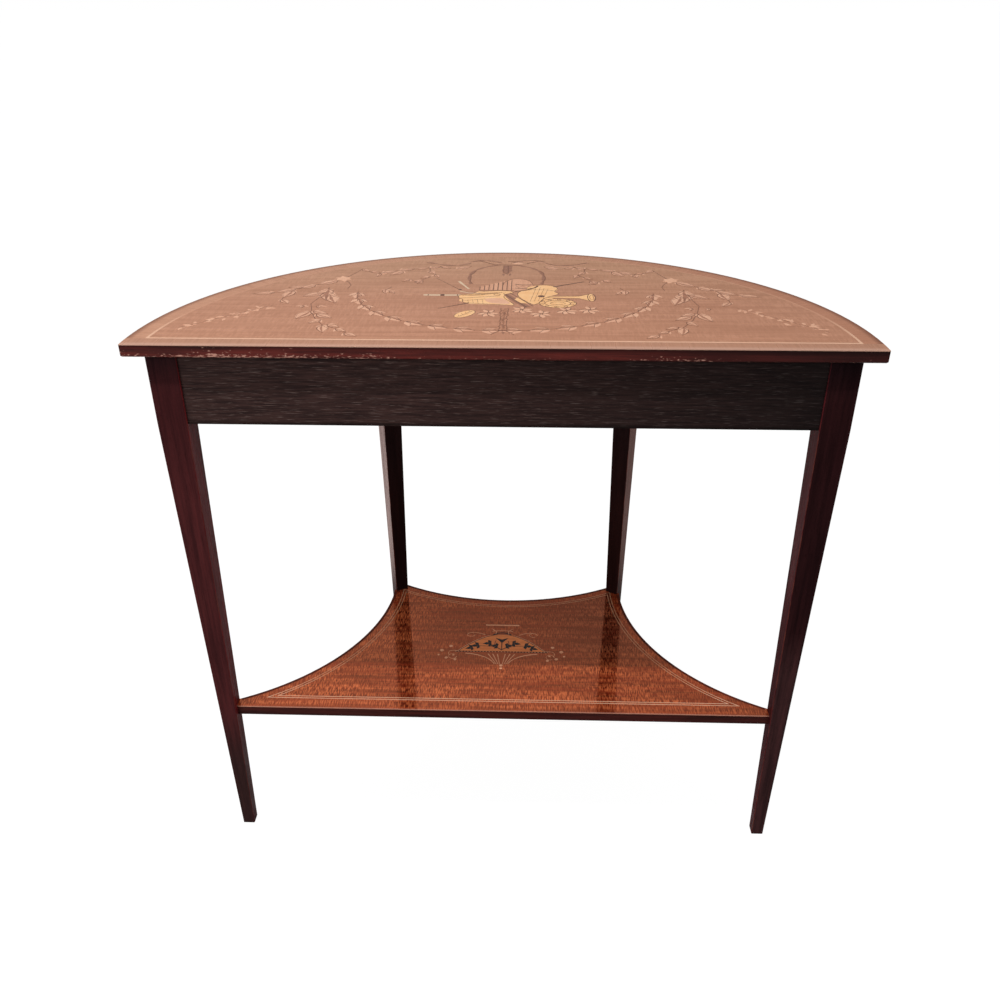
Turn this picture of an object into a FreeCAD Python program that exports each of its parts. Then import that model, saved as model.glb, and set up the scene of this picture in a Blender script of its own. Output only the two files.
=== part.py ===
import FreeCAD, Part
import Sketcher
import math
import os

# Inlaid half-round occasional table with an undertier. Millimetres, +Z up, feet on Z 0.
# The straight back edge faces -Y, the curve faces +Y, and the box's middle is over the origin.

doc = FreeCAD.newDocument("DemiluneTable")
sheet = doc.addObject("Spreadsheet::Sheet", "Sizes")

driving_sizes = (
    # The half-round top and its veneers
    ("top_radius", 420.0),
    ("table_height", 750.0),
    ("top_board_thickness", 13.5),
    ("veneer_thickness", 1.0),
    ("top_edge_ease", 1.5),
    ("crossband_width", 22.0),
    ("stringing_width", 3.0),
    # The frame under the top
    ("back_overhang", 10.0),
    ("side_overhang", 22.5),
    ("rail_height", 84.5),
    ("back_rail_thickness", 20.0),
    ("rail_setback", 3.0),
    ("frieze_thickness", 18.0),
    ("tenon_thickness", 8.0),
    ("tenon_length", 14.0),
    ("tenon_shoulder", 10.0),
    ("tenon_gap", 4.0),
    # The legs, square at the rails and tapering on all four faces below them
    ("back_leg_width", 35.0),
    ("back_foot_width", 16.5),
    ("front_leg_width", 31.0),
    ("front_foot_width", 14.5),
    ("front_leg_angle", 27.7),
    ("leg_arris_ease", 0.7),
    # The undertier with three hollow sides
    ("shelf_height", 221.0),
    ("shelf_board_thickness", 13.0),
    ("shelf_back_inset", 24.5),
    ("shelf_corner_lap", 8.0),
    ("shelf_side_hollow", 53.2),
    ("shelf_front_hollow", 47.0),
    ("shelf_band_back", 20.0),
    ("shelf_band_side", 14.0),
    ("shelf_line_width", 1.2),
    ("shelf_line_gap", 3.0),
    ("dowel_diameter", 6.0),
    ("dowel_length", 30.0),
    ("dowel_setback", 3.0),
    # The screws that hold the top down
    ("screw_diameter", 4.5),
    ("screw_head_diameter", 8.5),
    ("screw_head_height", 3.0),
    ("screw_grip", 30.0),
    ("screw_bite", 8.0),
    ("counterbore_diameter", 10.0),
    ("back_screw_spacing", 320.0),
    ("side_screw_angle", 33.0),
    # The marquetry let into the top, with the radius of the field that it was drawn for
    ("drawn_field_radius", 395.0),
    ("garland_margin", 207.0),
    ("garland_centre", 216.0),
    ("garland_foot", 58.0),
    ("garland_count", 18.0),
    ("husk_length", 24.0),
    ("husk_width", 9.0),
    ("leaf_fullness", 0.32),
    ("bud_length", 10.0),
    ("bud_fullness", 0.45),
    ("bud_pitch", 14.0),
    ("stalk_gap", 1.6),
    ("fold_length", 15.0),
    ("fold_fullness", 0.27),
    ("fold_pitch", 24.0),
    ("lute_length", 68.0),
    ("lute_width", 58.0),
    ("lyre_length", 82.0),
    ("lyre_width", 48.0),
    ("horn_length", 56.0),
    ("horn_bell", 34.0),
    ("horn_throat", 6.0),
    ("tambourine_diameter", 46.0),
    ("tambourine_height", 38.0),
    ("tambourine_rim", 7.0),
    ("drum_width", 38.0),
    ("drum_height", 56.0),
    ("pipe_count", 7.0),
    ("pipe_width", 4.6),
    ("pipe_gap", 1.2),
    ("pipe_length", 50.0),
    ("flute_length", 58.0),
    ("flute_width", 5.5),
    ("strap_length", 66.0),
    ("strap_width", 9.0),
    ("petal_length", 13.0),
    ("petal_fullness", 0.4),
    # The urn let into the shelf, with the depth of the shelf that it was drawn for
    ("drawn_shelf_depth", 277.5),
    ("urn_centre", 163.0),
    ("urn_offset", 3.5),
    ("urn_bowl_width", 128.0),
    ("urn_bowl_height", 43.0),
    ("urn_rim_gap", 3.0),
    ("urn_lid_width", 112.0),
    ("urn_lid_height", 42.0),
    ("urn_knob_width", 7.0),
    ("urn_foot_width", 52.0),
    ("urn_foot_height", 3.0),
    ("urn_stem_height", 25.0),
    ("urn_leaf_length", 13.0),
    ("urn_bud_length", 7.0),
    ("urn_leaf_fullness", 0.5),
)
for row, (alias, value) in enumerate(driving_sizes, start=1):
    sheet.set(f"A{row}", alias)
    sheet.set(f"B{row}", str(value))
    sheet.setAlias(f"B{row}", alias)
doc.recompute()

# Places that several pieces share, worked out from the driving sizes.
layout = doc.addObject("App::VarSet", "Layout")
shared_places = (
    ("back_y", "-Sizes.top_radius / 2"),
    ("veneer_z", "Sizes.table_height - Sizes.veneer_thickness"),
    ("board_z", "Layout.veneer_z - Sizes.top_board_thickness"),
    ("rail_z", "Layout.board_z - Sizes.rail_height"),
    ("top_band_inner", "Sizes.crossband_width + Sizes.stringing_width"),
    ("back_leg_x", "Sizes.top_radius - Sizes.side_overhang - Sizes.back_leg_width / 2"),
    ("back_leg_y", "Layout.back_y + Sizes.back_overhang + Sizes.back_leg_width / 2"),
    ("front_leg_reach", "Sizes.top_radius - Sizes.side_overhang - Sizes.front_leg_width / 2"),
    ("front_leg_x", "Layout.front_leg_reach * sin(Sizes.front_leg_angle)"),
    ("front_leg_y", "Layout.back_y + Layout.front_leg_reach * cos(Sizes.front_leg_angle)"),
    ("rail_y", "Layout.back_y + Sizes.back_overhang + Sizes.rail_setback"),
    ("frieze_outer", "Sizes.top_radius - Sizes.side_overhang - Sizes.rail_setback"),
    ("frieze_core", "Layout.frieze_outer - Sizes.veneer_thickness"),
    ("frieze_inner", "Layout.frieze_outer - Sizes.frieze_thickness"),
    ("frieze_middle", "(Layout.frieze_core + Layout.frieze_inner) / 2"),
    ("back_leg_angle", "asin((Layout.back_leg_y - Layout.back_y) / Layout.frieze_outer)"),
    ("tongue_y", "Sizes.back_overhang + Sizes.back_leg_width - Sizes.tenon_length"),
    ("tongue_angle", "asin(Layout.tongue_y / Layout.frieze_middle)"),
    ("gap_angle", "asin(Sizes.tenon_gap / 2 / Layout.front_leg_reach)"),
    ("shelf_z", "Sizes.shelf_height - Sizes.veneer_thickness - Sizes.shelf_board_thickness"),
    ("shelf_veneer_z", "Sizes.shelf_height - Sizes.veneer_thickness"),
    ("shelf_back_y", "Layout.back_y + Sizes.shelf_back_inset"),
    ("near_y", "Layout.back_leg_y + Sizes.shelf_corner_lap"),
    ("far_x", "Layout.front_leg_x + Sizes.shelf_corner_lap * cos(Sizes.front_leg_angle)"),
    ("far_y", "Layout.front_leg_y - Sizes.shelf_corner_lap * sin(Sizes.front_leg_angle)"),
    ("chord_x", "Layout.back_leg_x - Layout.far_x"),
    ("chord_y", "Layout.far_y - Layout.near_y"),
    ("chord", "sqrt(Layout.chord_x ^ 2 + Layout.chord_y ^ 2)"),
    ("side_radius", "(Layout.chord ^ 2 / 4 + Sizes.shelf_side_hollow ^ 2) / 2 / Sizes.shelf_side_hollow"),
    ("side_rise", "(Layout.side_radius - Sizes.shelf_side_hollow) / Layout.chord"),
    ("side_x", "(Layout.back_leg_x + Layout.far_x) / 2 + Layout.chord_y * Layout.side_rise"),
    ("side_y", "(Layout.near_y + Layout.far_y) / 2 + Layout.chord_x * Layout.side_rise"),
    ("tip_x", "Layout.front_leg_x - Sizes.shelf_corner_lap * (cos(Sizes.front_leg_angle)"
              " - sin(Sizes.front_leg_angle))"),
    ("tip_y", "Layout.front_leg_y + Sizes.shelf_corner_lap * (cos(Sizes.front_leg_angle)"
              " + sin(Sizes.front_leg_angle))"),
    ("front_radius", "(Layout.tip_x ^ 2 + Sizes.shelf_front_hollow ^ 2) / 2 / Sizes.shelf_front_hollow"),
    ("front_y", "Layout.tip_y + Layout.front_radius - Sizes.shelf_front_hollow"),
    ("shelf_line_inner", "2 * Sizes.shelf_line_width + Sizes.shelf_line_gap"),
    ("dowel_z", "Layout.shelf_z + Sizes.shelf_board_thickness / 2"),
)
for place, expression in shared_places:
    layout.addProperty("App::PropertyFloat", place, "Places")
    layout.setExpression(place, expression)
doc.recompute()


def size(alias):
    """Reads one driving size from the sheet."""
    return float(sheet.get(alias))


def bind(item, **expressions):
    """Binds properties of an object to the sheet; x, y, z and turn stand for its placement."""
    places = {"x": ".Placement.Base.x", "y": ".Placement.Base.y", "z": ".Placement.Base.z",
              "turn": ".Placement.Rotation.Angle"}
    for key, expression in expressions.items():
        item.setExpression(places.get(key, key), expression)
    return item


def box(name, **expressions):
    return bind(doc.addObject("Part::Box", name), **expressions)


def cylinder(name, **expressions):
    return bind(doc.addObject("Part::Cylinder", name), **expressions)


def cut(name, base, tool):
    item = doc.addObject("Part::Cut", name)
    item.Base = base
    item.Tool = tool
    return item


def common(name, base, tool):
    item = doc.addObject("Part::Common", name)
    item.Base = base
    item.Tool = tool
    return item


def fuse(name, *shapes):
    item = doc.addObject("Part::MultiFuse", name)
    item.Shapes = list(shapes)
    item.Refine = False
    return item


def group(name, *shapes):
    item = doc.addObject("Part::Compound", name)
    item.Links = list(shapes)
    return item


def sub_part(label, item):
    """Names a finished piece; its label is the name of its file."""
    item.Label = label
    sub_parts.append(item)
    return item


sub_parts = []


# Legs. Each is planed square, then tapered on all four faces from the rail to the foot, with its long
# arrises eased.
def make_leg(name, width, foot, x, y, turn):
    body = doc.addObject("PartDesign::Body", name + "_blank")
    plane = [f for f in body.Origin.OriginFeatures if f.Role == "XY_Plane"][0]
    taper = body.newObject("PartDesign::AdditiveWedge", name + "_taper")
    taper.AttachmentSupport = (plane, [""])
    taper.MapMode = "FlatFace"
    upright = FreeCAD.Rotation(FreeCAD.Vector(1, 0, 0), 90)
    taper.AttachmentOffset = FreeCAD.Placement(FreeCAD.Vector(0, 0, 0), upright)
    bind(taper, Ymin="0", Ymax="Layout.rail_z",
         Xmin=f"-Sizes.{foot} / 2", Xmax=f"Sizes.{foot} / 2",
         Zmin=f"-Sizes.{foot} / 2", Zmax=f"Sizes.{foot} / 2",
         X2min=f"-Sizes.{width} / 2", X2max=f"Sizes.{width} / 2",
         Z2min=f"-Sizes.{width} / 2", Z2max=f"Sizes.{width} / 2")
    doc.recompute()
    long_edges = [f"Edge{index}" for index, edge in enumerate(taper.Shape.Edges, start=1)
                  if edge.BoundBox.ZLength > layout.rail_z / 2]
    ease = body.newObject("PartDesign::Chamfer", name + "_ease")
    ease.Base = (taper, long_edges)
    ease.setExpression("Size", "Sizes.leg_arris_ease")
    doc.recompute()
    knee = [f"Face{index}" for index, face in enumerate(ease.Shape.Faces, start=1)
            if face.BoundBox.ZMin > layout.rail_z / 2]
    block = body.newObject("PartDesign::Pad", name + "_block")
    block.Profile = (ease, knee)
    block.setExpression("Length", "Sizes.rail_height")
    body.Tip = block
    bind(body, x=x, y=y, turn=turn)
    return body


leg_blanks = {
    "back_left_leg": make_leg("back_left_leg", "back_leg_width", "back_foot_width",
                              "-Layout.back_leg_x", "Layout.back_leg_y", "0"),
    "back_right_leg": make_leg("back_right_leg", "back_leg_width", "back_foot_width",
                               "Layout.back_leg_x", "Layout.back_leg_y", "0"),
    "front_left_leg": make_leg("front_left_leg", "front_leg_width", "front_foot_width",
                               "-Layout.front_leg_x", "Layout.front_leg_y", "Sizes.front_leg_angle"),
    "front_right_leg": make_leg("front_right_leg", "front_leg_width", "front_foot_width",
                                "Layout.front_leg_x", "Layout.front_leg_y", "-Sizes.front_leg_angle"),
}
all_legs = group("all_legs", *leg_blanks.values())


# Screws that hold the top: cheese heads in counterbores that come up from the rails' lower edge.
def make_screw(name, x, y):
    head = cylinder(name + "_head", x=x, y=y, z="Layout.board_z - Sizes.screw_grip - Sizes.screw_head_height",
                    Radius="Sizes.screw_head_diameter / 2", Height="Sizes.screw_head_height")
    shank = cylinder(name + "_shank", x=x, y=y, z="Layout.board_z - Sizes.screw_grip",
                     Radius="Sizes.screw_diameter / 2", Height="Sizes.screw_grip + Sizes.screw_bite")
    bore = cylinder(name + "_bore", x=x, y=y, z="Layout.rail_z",
                    Radius="Sizes.counterbore_diameter / 2",
                    Height="Sizes.rail_height - Sizes.screw_grip")
    return fuse(name, head, shank), group(name + "_hole", shank, bore)


frieze_point = "Layout.back_y + Layout.frieze_middle * "
screw_places = {
    "back_left_screw": ("-Sizes.back_screw_spacing / 2", "Layout.rail_y + Sizes.back_rail_thickness / 2"),
    "back_right_screw": ("Sizes.back_screw_spacing / 2", "Layout.rail_y + Sizes.back_rail_thickness / 2"),
    "left_screw": ("-Layout.frieze_middle * cos(Sizes.side_screw_angle)",
                   frieze_point + "sin(Sizes.side_screw_angle)"),
    "centre_screw": ("0", frieze_point + "1"),
    "right_screw": ("Layout.frieze_middle * cos(Sizes.side_screw_angle)",
                    frieze_point + "sin(Sizes.side_screw_angle)"),
}
screws = {name: make_screw(name, x, y) for name, (x, y) in screw_places.items()}
screw_holes = group("screw_holes", *[hole for screw, hole in screws.values()])

# Back rail. A straight rail between the back legs, with a tenon at each end.
rail_main = box("rail_main", x="-Layout.back_leg_x + Sizes.back_leg_width / 2", y="Layout.rail_y",
                z="Layout.rail_z", Length="2 * Layout.back_leg_x - Sizes.back_leg_width",
                Width="Sizes.back_rail_thickness", Height="Sizes.rail_height")
rail_tongue = box("rail_tongue",
                  x="-Layout.back_leg_x + Sizes.back_leg_width / 2 - Sizes.tenon_length",
                  y="Layout.rail_y + (Sizes.back_rail_thickness - Sizes.tenon_thickness) / 2",
                  z="Layout.rail_z + Sizes.tenon_shoulder",
                  Length="2 * Layout.back_leg_x - Sizes.back_leg_width + 2 * Sizes.tenon_length",
                  Width="Sizes.tenon_thickness", Height="Sizes.rail_height - 2 * Sizes.tenon_shoulder")
rail_joined = fuse("rail_joined", rail_main, rail_tongue)
sub_part("back_rail", cut("back_rail_cut", rail_joined, screw_holes))


# Friezes. Curved rails between the legs, each with a bent tongue that enters the legs, and a face veneer.
def ring_sector(name, outer, inner, z, height, start, end):
    outside = cylinder(name + "_outside", y="Layout.back_y", z=z, Radius=outer, Height=height,
                       turn=start, Angle=f"({end}) - ({start})")
    inside = cylinder(name + "_inside", y="Layout.back_y", z=z, Radius=inner, Height=height)
    return cut(name, outside, inside)


def make_frieze(name, leg_start, leg_end, tongue_start, tongue_end):
    core = ring_sector(name + "_core", "Layout.frieze_core", "Layout.frieze_inner",
                       "Layout.rail_z", "Sizes.rail_height", leg_start, leg_end)
    tongue = ring_sector(name + "_tongue", "Layout.frieze_middle + Sizes.tenon_thickness / 2",
                         "Layout.frieze_middle - Sizes.tenon_thickness / 2",
                         "Layout.rail_z + Sizes.tenon_shoulder",
                         "Sizes.rail_height - 2 * Sizes.tenon_shoulder", tongue_start, tongue_end)
    skin = ring_sector(name + "_skin", "Layout.frieze_outer", "Layout.frieze_core",
                       "Layout.rail_z", "Sizes.rail_height", leg_start, leg_end)
    joined = fuse(name + "_joined", cut(name + "_between", core, all_legs), tongue)
    sub_part(name, cut(name + "_cut", joined, screw_holes))
    sub_part(name + "_veneer", cut(name + "_veneer_cut", skin, all_legs))
    return tongue


right_leg_angle = "90 - Sizes.front_leg_angle"
left_leg_angle = "90 + Sizes.front_leg_angle"
tongues = [
    rail_tongue,
    make_frieze("frieze_right", "Layout.back_leg_angle", right_leg_angle,
                "Layout.tongue_angle", right_leg_angle + " - Layout.gap_angle"),
    make_frieze("frieze_centre", right_leg_angle, left_leg_angle,
                right_leg_angle + " + Layout.gap_angle", left_leg_angle + " - Layout.gap_angle"),
    make_frieze("frieze_left", left_leg_angle, "180 - Layout.back_leg_angle",
                left_leg_angle + " + Layout.gap_angle", "180 - Layout.tongue_angle"),
]


# Shelf dowels. One from each leg's inner face into the corner of the shelf.
def make_dowel(name, x, y, axis_x, axis_y):
    dowel = cylinder(name, x=x, y=y, z="Layout.dowel_z", Radius="Sizes.dowel_diameter / 2",
                     Height="Sizes.dowel_length - Sizes.dowel_setback", turn="90")
    dowel.setExpression(".Placement.Rotation.Axis.x", axis_x)
    dowel.setExpression(".Placement.Rotation.Axis.y", axis_y)
    dowel.setExpression(".Placement.Rotation.Axis.z", "0")
    return dowel


dowel_back_y = "Layout.back_leg_y + Sizes.shelf_corner_lap / 2"
dowel_front_x = "(Layout.front_leg_x - Sizes.dowel_length * sin(Sizes.front_leg_angle))"
dowel_front_y = "Layout.front_leg_y - Sizes.dowel_length * cos(Sizes.front_leg_angle)"
dowels = [
    make_dowel("back_left_dowel", "-Layout.back_leg_x + Sizes.dowel_setback", dowel_back_y, "0", "1"),
    make_dowel("back_right_dowel", "Layout.back_leg_x - Sizes.dowel_length", dowel_back_y, "0", "1"),
    make_dowel("front_left_dowel", "-" + dowel_front_x, dowel_front_y,
               "-cos(Sizes.front_leg_angle)", "-sin(Sizes.front_leg_angle)"),
    make_dowel("front_right_dowel", dowel_front_x, dowel_front_y,
               "-cos(Sizes.front_leg_angle)", "sin(Sizes.front_leg_angle)"),
]
shelf_dowels = sub_part("shelf_dowels", group("shelf_dowel_group", *dowels))

leg_cutters = group("leg_cutters", *tongues, *dowels)
for leg_name, blank in leg_blanks.items():
    sub_part(leg_name, cut(leg_name + "_cut", blank, leg_cutters))


# Shelf. A board with three hollow sides, notched round the legs, with a veneered and banded face.
def shelf_region(name, z, height, side_inset, back_inset):
    """The shelf's outline as a slab, drawn in by the insets along its hollow sides and its back."""
    slab = box(name + "_slab", x="-Layout.back_leg_x", y=f"Layout.shelf_back_y + {back_inset}", z=z,
               Length="2 * Layout.back_leg_x", Width=f"Layout.tip_y - Layout.shelf_back_y - ({back_inset})",
               Height=height)
    left = cylinder(name + "_left", x="-Layout.side_x", y="Layout.side_y", z=z, Height=height,
                    Radius=f"Layout.side_radius + {side_inset}")
    right = cylinder(name + "_right", x="Layout.side_x", y="Layout.side_y", z=z, Height=height,
                     Radius=f"Layout.side_radius + {side_inset}")
    front = cylinder(name + "_front", y="Layout.front_y", z=z, Height=height,
                     Radius=f"Layout.front_radius + {side_inset}")
    trims = []
    for side, sign in (("left", "-"), ("right", "")):
        trims.append(box(f"{name}_{side}_trim", z=z, Height=height, Length="Layout.back_leg_x",
                         Width="Layout.back_leg_x",
                         x=f"{sign}(Layout.front_leg_x + Sizes.shelf_corner_lap * sin(Sizes.front_leg_angle))"
                           f" - Layout.back_leg_x / 2 * cos(Sizes.front_leg_angle)",
                         y="Layout.front_leg_y + Sizes.shelf_corner_lap * cos(Sizes.front_leg_angle)"
                           f" + ({sign}1) * Layout.back_leg_x / 2 * sin(Sizes.front_leg_angle)",
                         turn=f"-({sign}1) * Sizes.front_leg_angle"))
    return cut(name, slab, group(name + "_tools", left, right, front, *trims))


shelf_blank = shelf_region("shelf_blank", "Layout.shelf_z", "Sizes.shelf_board_thickness", "0", "0")
shelf_cutters = group("shelf_cutters", *leg_blanks.values(), *dowels)
sub_part("shelf_board", cut("shelf_board_cut", shelf_blank, shelf_cutters))

veneer_layer = ("Layout.shelf_veneer_z", "Sizes.veneer_thickness")
line_insets = ("0", "Sizes.shelf_line_width", "Sizes.shelf_line_width + Sizes.shelf_line_gap",
               "Layout.shelf_line_inner")
shelf_face = shelf_region("shelf_face", *veneer_layer, "0", "0")
outlines = [shelf_region(f"shelf_outline_{index}", *veneer_layer, f"Sizes.shelf_band_side + {inset}",
                         f"Sizes.shelf_band_back + {inset}") for index, inset in enumerate(line_insets)]
shelf_ring = cut("shelf_ring", cut("shelf_face_notched", shelf_face, all_legs), outlines[0])
shelf_strip = box("shelf_strip", x="-Layout.back_leg_x", y="Layout.shelf_back_y", z="Layout.shelf_veneer_z",
                  Length="2 * Layout.back_leg_x", Width="Sizes.shelf_band_back",
                  Height="Sizes.veneer_thickness")
sub_part("shelf_crossband", group("shelf_bands", common("shelf_back_band", shelf_ring, shelf_strip),
                                  cut("shelf_side_bands", shelf_ring, shelf_strip)))
outer_line = cut("shelf_outer_line", outlines[0], outlines[1])
inner_line = cut("shelf_inner_line", outlines[2], outlines[3])
sub_part("shelf_stringing", group("shelf_lines", outer_line, inner_line))
sub_part("shelf_line_band", cut("shelf_line_band_cut", outlines[1], outlines[2]))

# Top board. A half-round board with its lower arris eased, screwed down to the rails.
top_body = doc.addObject("PartDesign::Body", "top_blank")
top_plane = [f for f in top_body.Origin.OriginFeatures if f.Role == "XY_Plane"][0]
half_round = top_body.newObject("Sketcher::SketchObject", "half_round")
half_round.AttachmentSupport = (top_plane, [""])
half_round.MapMode = "FlatFace"
origin = FreeCAD.Vector(0, 0, 0)
radius_now = size("top_radius")
full_round = Part.Circle(origin, FreeCAD.Vector(0, 0, 1), radius_now)
half_round.addGeometry(Part.ArcOfCircle(full_round, 0, math.pi))
half_round.addGeometry(Part.LineSegment(FreeCAD.Vector(-radius_now, 0, 0), FreeCAD.Vector(radius_now, 0, 0)))
half_round.addConstraint(Sketcher.Constraint("Coincident", 0, 3, -1, 1))
half_round.addConstraint(Sketcher.Constraint("Coincident", 0, 2, 1, 1))
half_round.addConstraint(Sketcher.Constraint("Coincident", 1, 2, 0, 1))
half_round.addConstraint(Sketcher.Constraint("Horizontal", 1))
radius_row = half_round.addConstraint(Sketcher.Constraint("Radius", 0, radius_now))
half_round.setExpression(f"Constraints[{radius_row}]", "Sizes.top_radius")
doc.recompute()
top_pad = top_body.newObject("PartDesign::Pad", "top_pad")
top_pad.Profile = half_round
top_pad.setExpression("Length", "Sizes.top_board_thickness")
doc.recompute()
lower_edges = [f"Edge{index}" for index, edge in enumerate(top_pad.Shape.Edges, start=1)
               if edge.BoundBox.ZMax < size("top_board_thickness") / 2]
top_ease = top_body.newObject("PartDesign::Chamfer", "top_ease")
top_ease.Base = (top_pad, lower_edges)
top_ease.setExpression("Size", "Sizes.top_edge_ease")
top_body.Tip = top_ease
bind(top_body, y="Layout.back_y", z="Layout.board_z")
sub_part("top_board", cut("top_board_cut", top_body, screw_holes))
sub_part("top_screws", group("top_screw_group", *[screw for screw, hole in screws.values()]))


# Top veneers. A crossband along both edges, a pale line inside it, and the field.
def top_region(name, inset):
    """The half-round outline at the veneer's level, drawn in by an inset on both edges."""
    disc = cylinder(name + "_disc", y="Layout.back_y", z="Layout.veneer_z",
                    Radius=f"Sizes.top_radius - {inset}", Height="Sizes.veneer_thickness")
    front = box(name + "_front", x="-Sizes.top_radius", y=f"Layout.back_y + {inset}", z="Layout.veneer_z",
                Length="2 * Sizes.top_radius", Width="Sizes.top_radius", Height="Sizes.veneer_thickness")
    return common(name, disc, front)


top_face = top_region("top_face", "0")
inside_band = top_region("inside_band", "Sizes.crossband_width")
top_field = top_region("top_field", "Layout.top_band_inner")
back_strip = box("back_strip", x="-Sizes.top_radius", y="Layout.back_y", z="Layout.veneer_z",
                 Length="2 * Sizes.top_radius", Width="Sizes.crossband_width",
                 Height="Sizes.veneer_thickness")
sub_part("top_crossband_back", common("crossband_back", top_face, back_strip))
edge_ring = ring_sector("edge_ring", "Sizes.top_radius", "Sizes.top_radius - Sizes.crossband_width",
                        "Layout.veneer_z", "Sizes.veneer_thickness", "0", "180")
sub_part("top_crossband_curve", cut("crossband_curve", edge_ring, back_strip))
sub_part("top_stringing", cut("stringing", inside_band, top_field))
doc.recompute()


# Marquetry. Thin pieces sawn from contrasting veneers, each let into the veneer round it.
def turned(points, x, y, heading):
    """Points along and across a heading in degrees, moved to a place."""
    c = math.cos(math.radians(heading))
    s = math.sin(math.radians(heading))
    return [(x + c * along - s * across, y + s * along + c * across) for along, across in points]


def slice_of(outline, z):
    """A piece of veneer of that outline, with its lower face at z."""
    corners = [FreeCAD.Vector(x, y, z) for x, y in outline]
    wire = Part.makePolygon(corners + corners[:1])
    return Part.Face(wire).extrude(FreeCAD.Vector(0, 0, size("veneer_thickness")))


def leaf(foot, tip, fullness):
    """A pointed leaf from its stalk's end to its tip; fullness is its width over its length."""
    length = math.dist(foot, tip)
    half = fullness * length / 2
    outline = ((0, 0), (0.3 * length, half), (0.7 * length, 0.75 * half), (length, 0),
               (0.7 * length, -0.75 * half), (0.3 * length, -half))
    heading = math.degrees(math.atan2(tip[1] - foot[1], tip[0] - foot[0]))
    return turned(outline, *foot, heading)


def lozenge(foot, tip, fullness):
    """A small pointed piece in four cuts, widest before its middle."""
    length = math.dist(foot, tip)
    half = fullness * length / 2
    outline = ((0, 0), (0.4 * length, half), (length, 0), (0.4 * length, -half))
    heading = math.degrees(math.atan2(tip[1] - foot[1], tip[0] - foot[0]))
    return turned(outline, *foot, heading)


def husk(x, y, heading, length, width):
    """A husk: narrow at its stalk, widest past its middle, with a notched mouth."""
    half = width / 2
    outline = ((0, 0), (0.45 * length, half), (length, 0.6 * half), (0.8 * length, 0), (length, -0.6 * half),
               (0.45 * length, -half))
    return turned(outline, x, y, heading)


def oval(x, y, half_along, half_across, heading):
    """An oval sawn in short straight cuts."""
    cuts = 20
    turns = [2 * math.pi * number / cuts for number in range(cuts)]
    outline = [(half_along * math.cos(turn), half_across * math.sin(turn)) for turn in turns]
    return turned(outline, x, y, heading)


def strip(x, y, heading, length, width):
    half = width / 2
    return turned(((0, -half), (length, -half), (length, half), (0, half)), x, y, heading)


def ahead(x, y, heading, reach):
    """A place a reach ahead of another."""
    return x + reach * math.cos(math.radians(heading)), y + reach * math.sin(math.radians(heading))


def stem(start, bend, end, pitch):
    """Places and headings along a bent stem, about a pitch apart."""
    reach = math.dist(start, bend) + math.dist(bend, end)
    count = max(1, round(reach / pitch))
    places = []
    for step in range(count):
        t = (step + 0.5) / count
        x, y = [(1 - t) ** 2 * a + 2 * t * (1 - t) * b + t ** 2 * c for a, b, c in zip(start, bend, end)]
        dx, dy = [(1 - t) * (b - a) + t * (c - b) for a, b, c in zip(start, bend, end)]
        places.append((x, y, math.degrees(math.atan2(dy, dx))))
    return places


laid = []


def trimmed(piece, other):
    """What is left of a piece beside one that was laid before it."""
    if not piece.BoundBox.intersect(other.BoundBox):
        return [piece]
    return piece.cut(other).Solids


def let_in(label, outlines_in, blank, z):
    """Lets pieces into a veneer: each is trimmed by the veneer's edge and by the pieces already laid."""
    kept = []
    for outline in outlines_in:
        pieces = slice_of(outline, z).common(blank.Shape).Solids
        for other in laid:
            pieces = [rest for piece in pieces for rest in trimmed(piece, other)]
        whole = [piece for piece in pieces if piece.Volume > size("veneer_thickness") ** 3]
        kept += whole
        laid.extend(whole)
    item = doc.addObject("Part::Feature", label + "_pieces")
    item.Shape = Part.makeCompound(kept)
    return sub_part(label, item)


back_y = layout.back_y
veneer_z = layout.veneer_z
# The ornament was drawn for one radius of the field. Its places and sizes follow the field from there.
drawing_radius = 395.0
field_radius = size("top_radius") - layout.top_band_inner
spread = field_radius / drawing_radius


def on_top(x, y):
    """A place on the top, drawn from the middle of its straight edge."""
    return x * spread, back_y + y * spread


def top_size(alias):
    """A size of the ornament on the top."""
    return size(alias) * field_radius / size("drawn_field_radius")


# Trophy of music. The pieces are laid from the uppermost instrument down.
horn_x, horn_y = on_top(54, 193)
throat = top_size("horn_throat") / 2
bell = top_size("horn_bell") / 2
mouth = top_size("horn_length")
flare = mouth - bell
horn = turned(((0, -throat), (flare, -1.6 * throat), (mouth, -bell), (mouth + throat, 0), (mouth, bell),
               (flare, 1.6 * throat), (0, throat)), horn_x, horn_y, 0)
let_in("trophy_horn", [horn], top_field, veneer_z)

rim_x, rim_y = on_top(66, 167)
rim_along = top_size("tambourine_diameter") / 2
rim_across = top_size("tambourine_height") / 2
rim_width = top_size("tambourine_rim")
let_in("trophy_tambourine", [oval(rim_x, rim_y, rim_along - rim_width, rim_across - rim_width, 0),
                             oval(rim_x, rim_y, rim_along, rim_across, 0)], top_field, veneer_z)

flute_x, flute_y = on_top(-103, 200)
flute = strip(flute_x, flute_y, 0, top_size("flute_length"), top_size("flute_width"))
let_in("trophy_flute", [flute], top_field, veneer_z)

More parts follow.
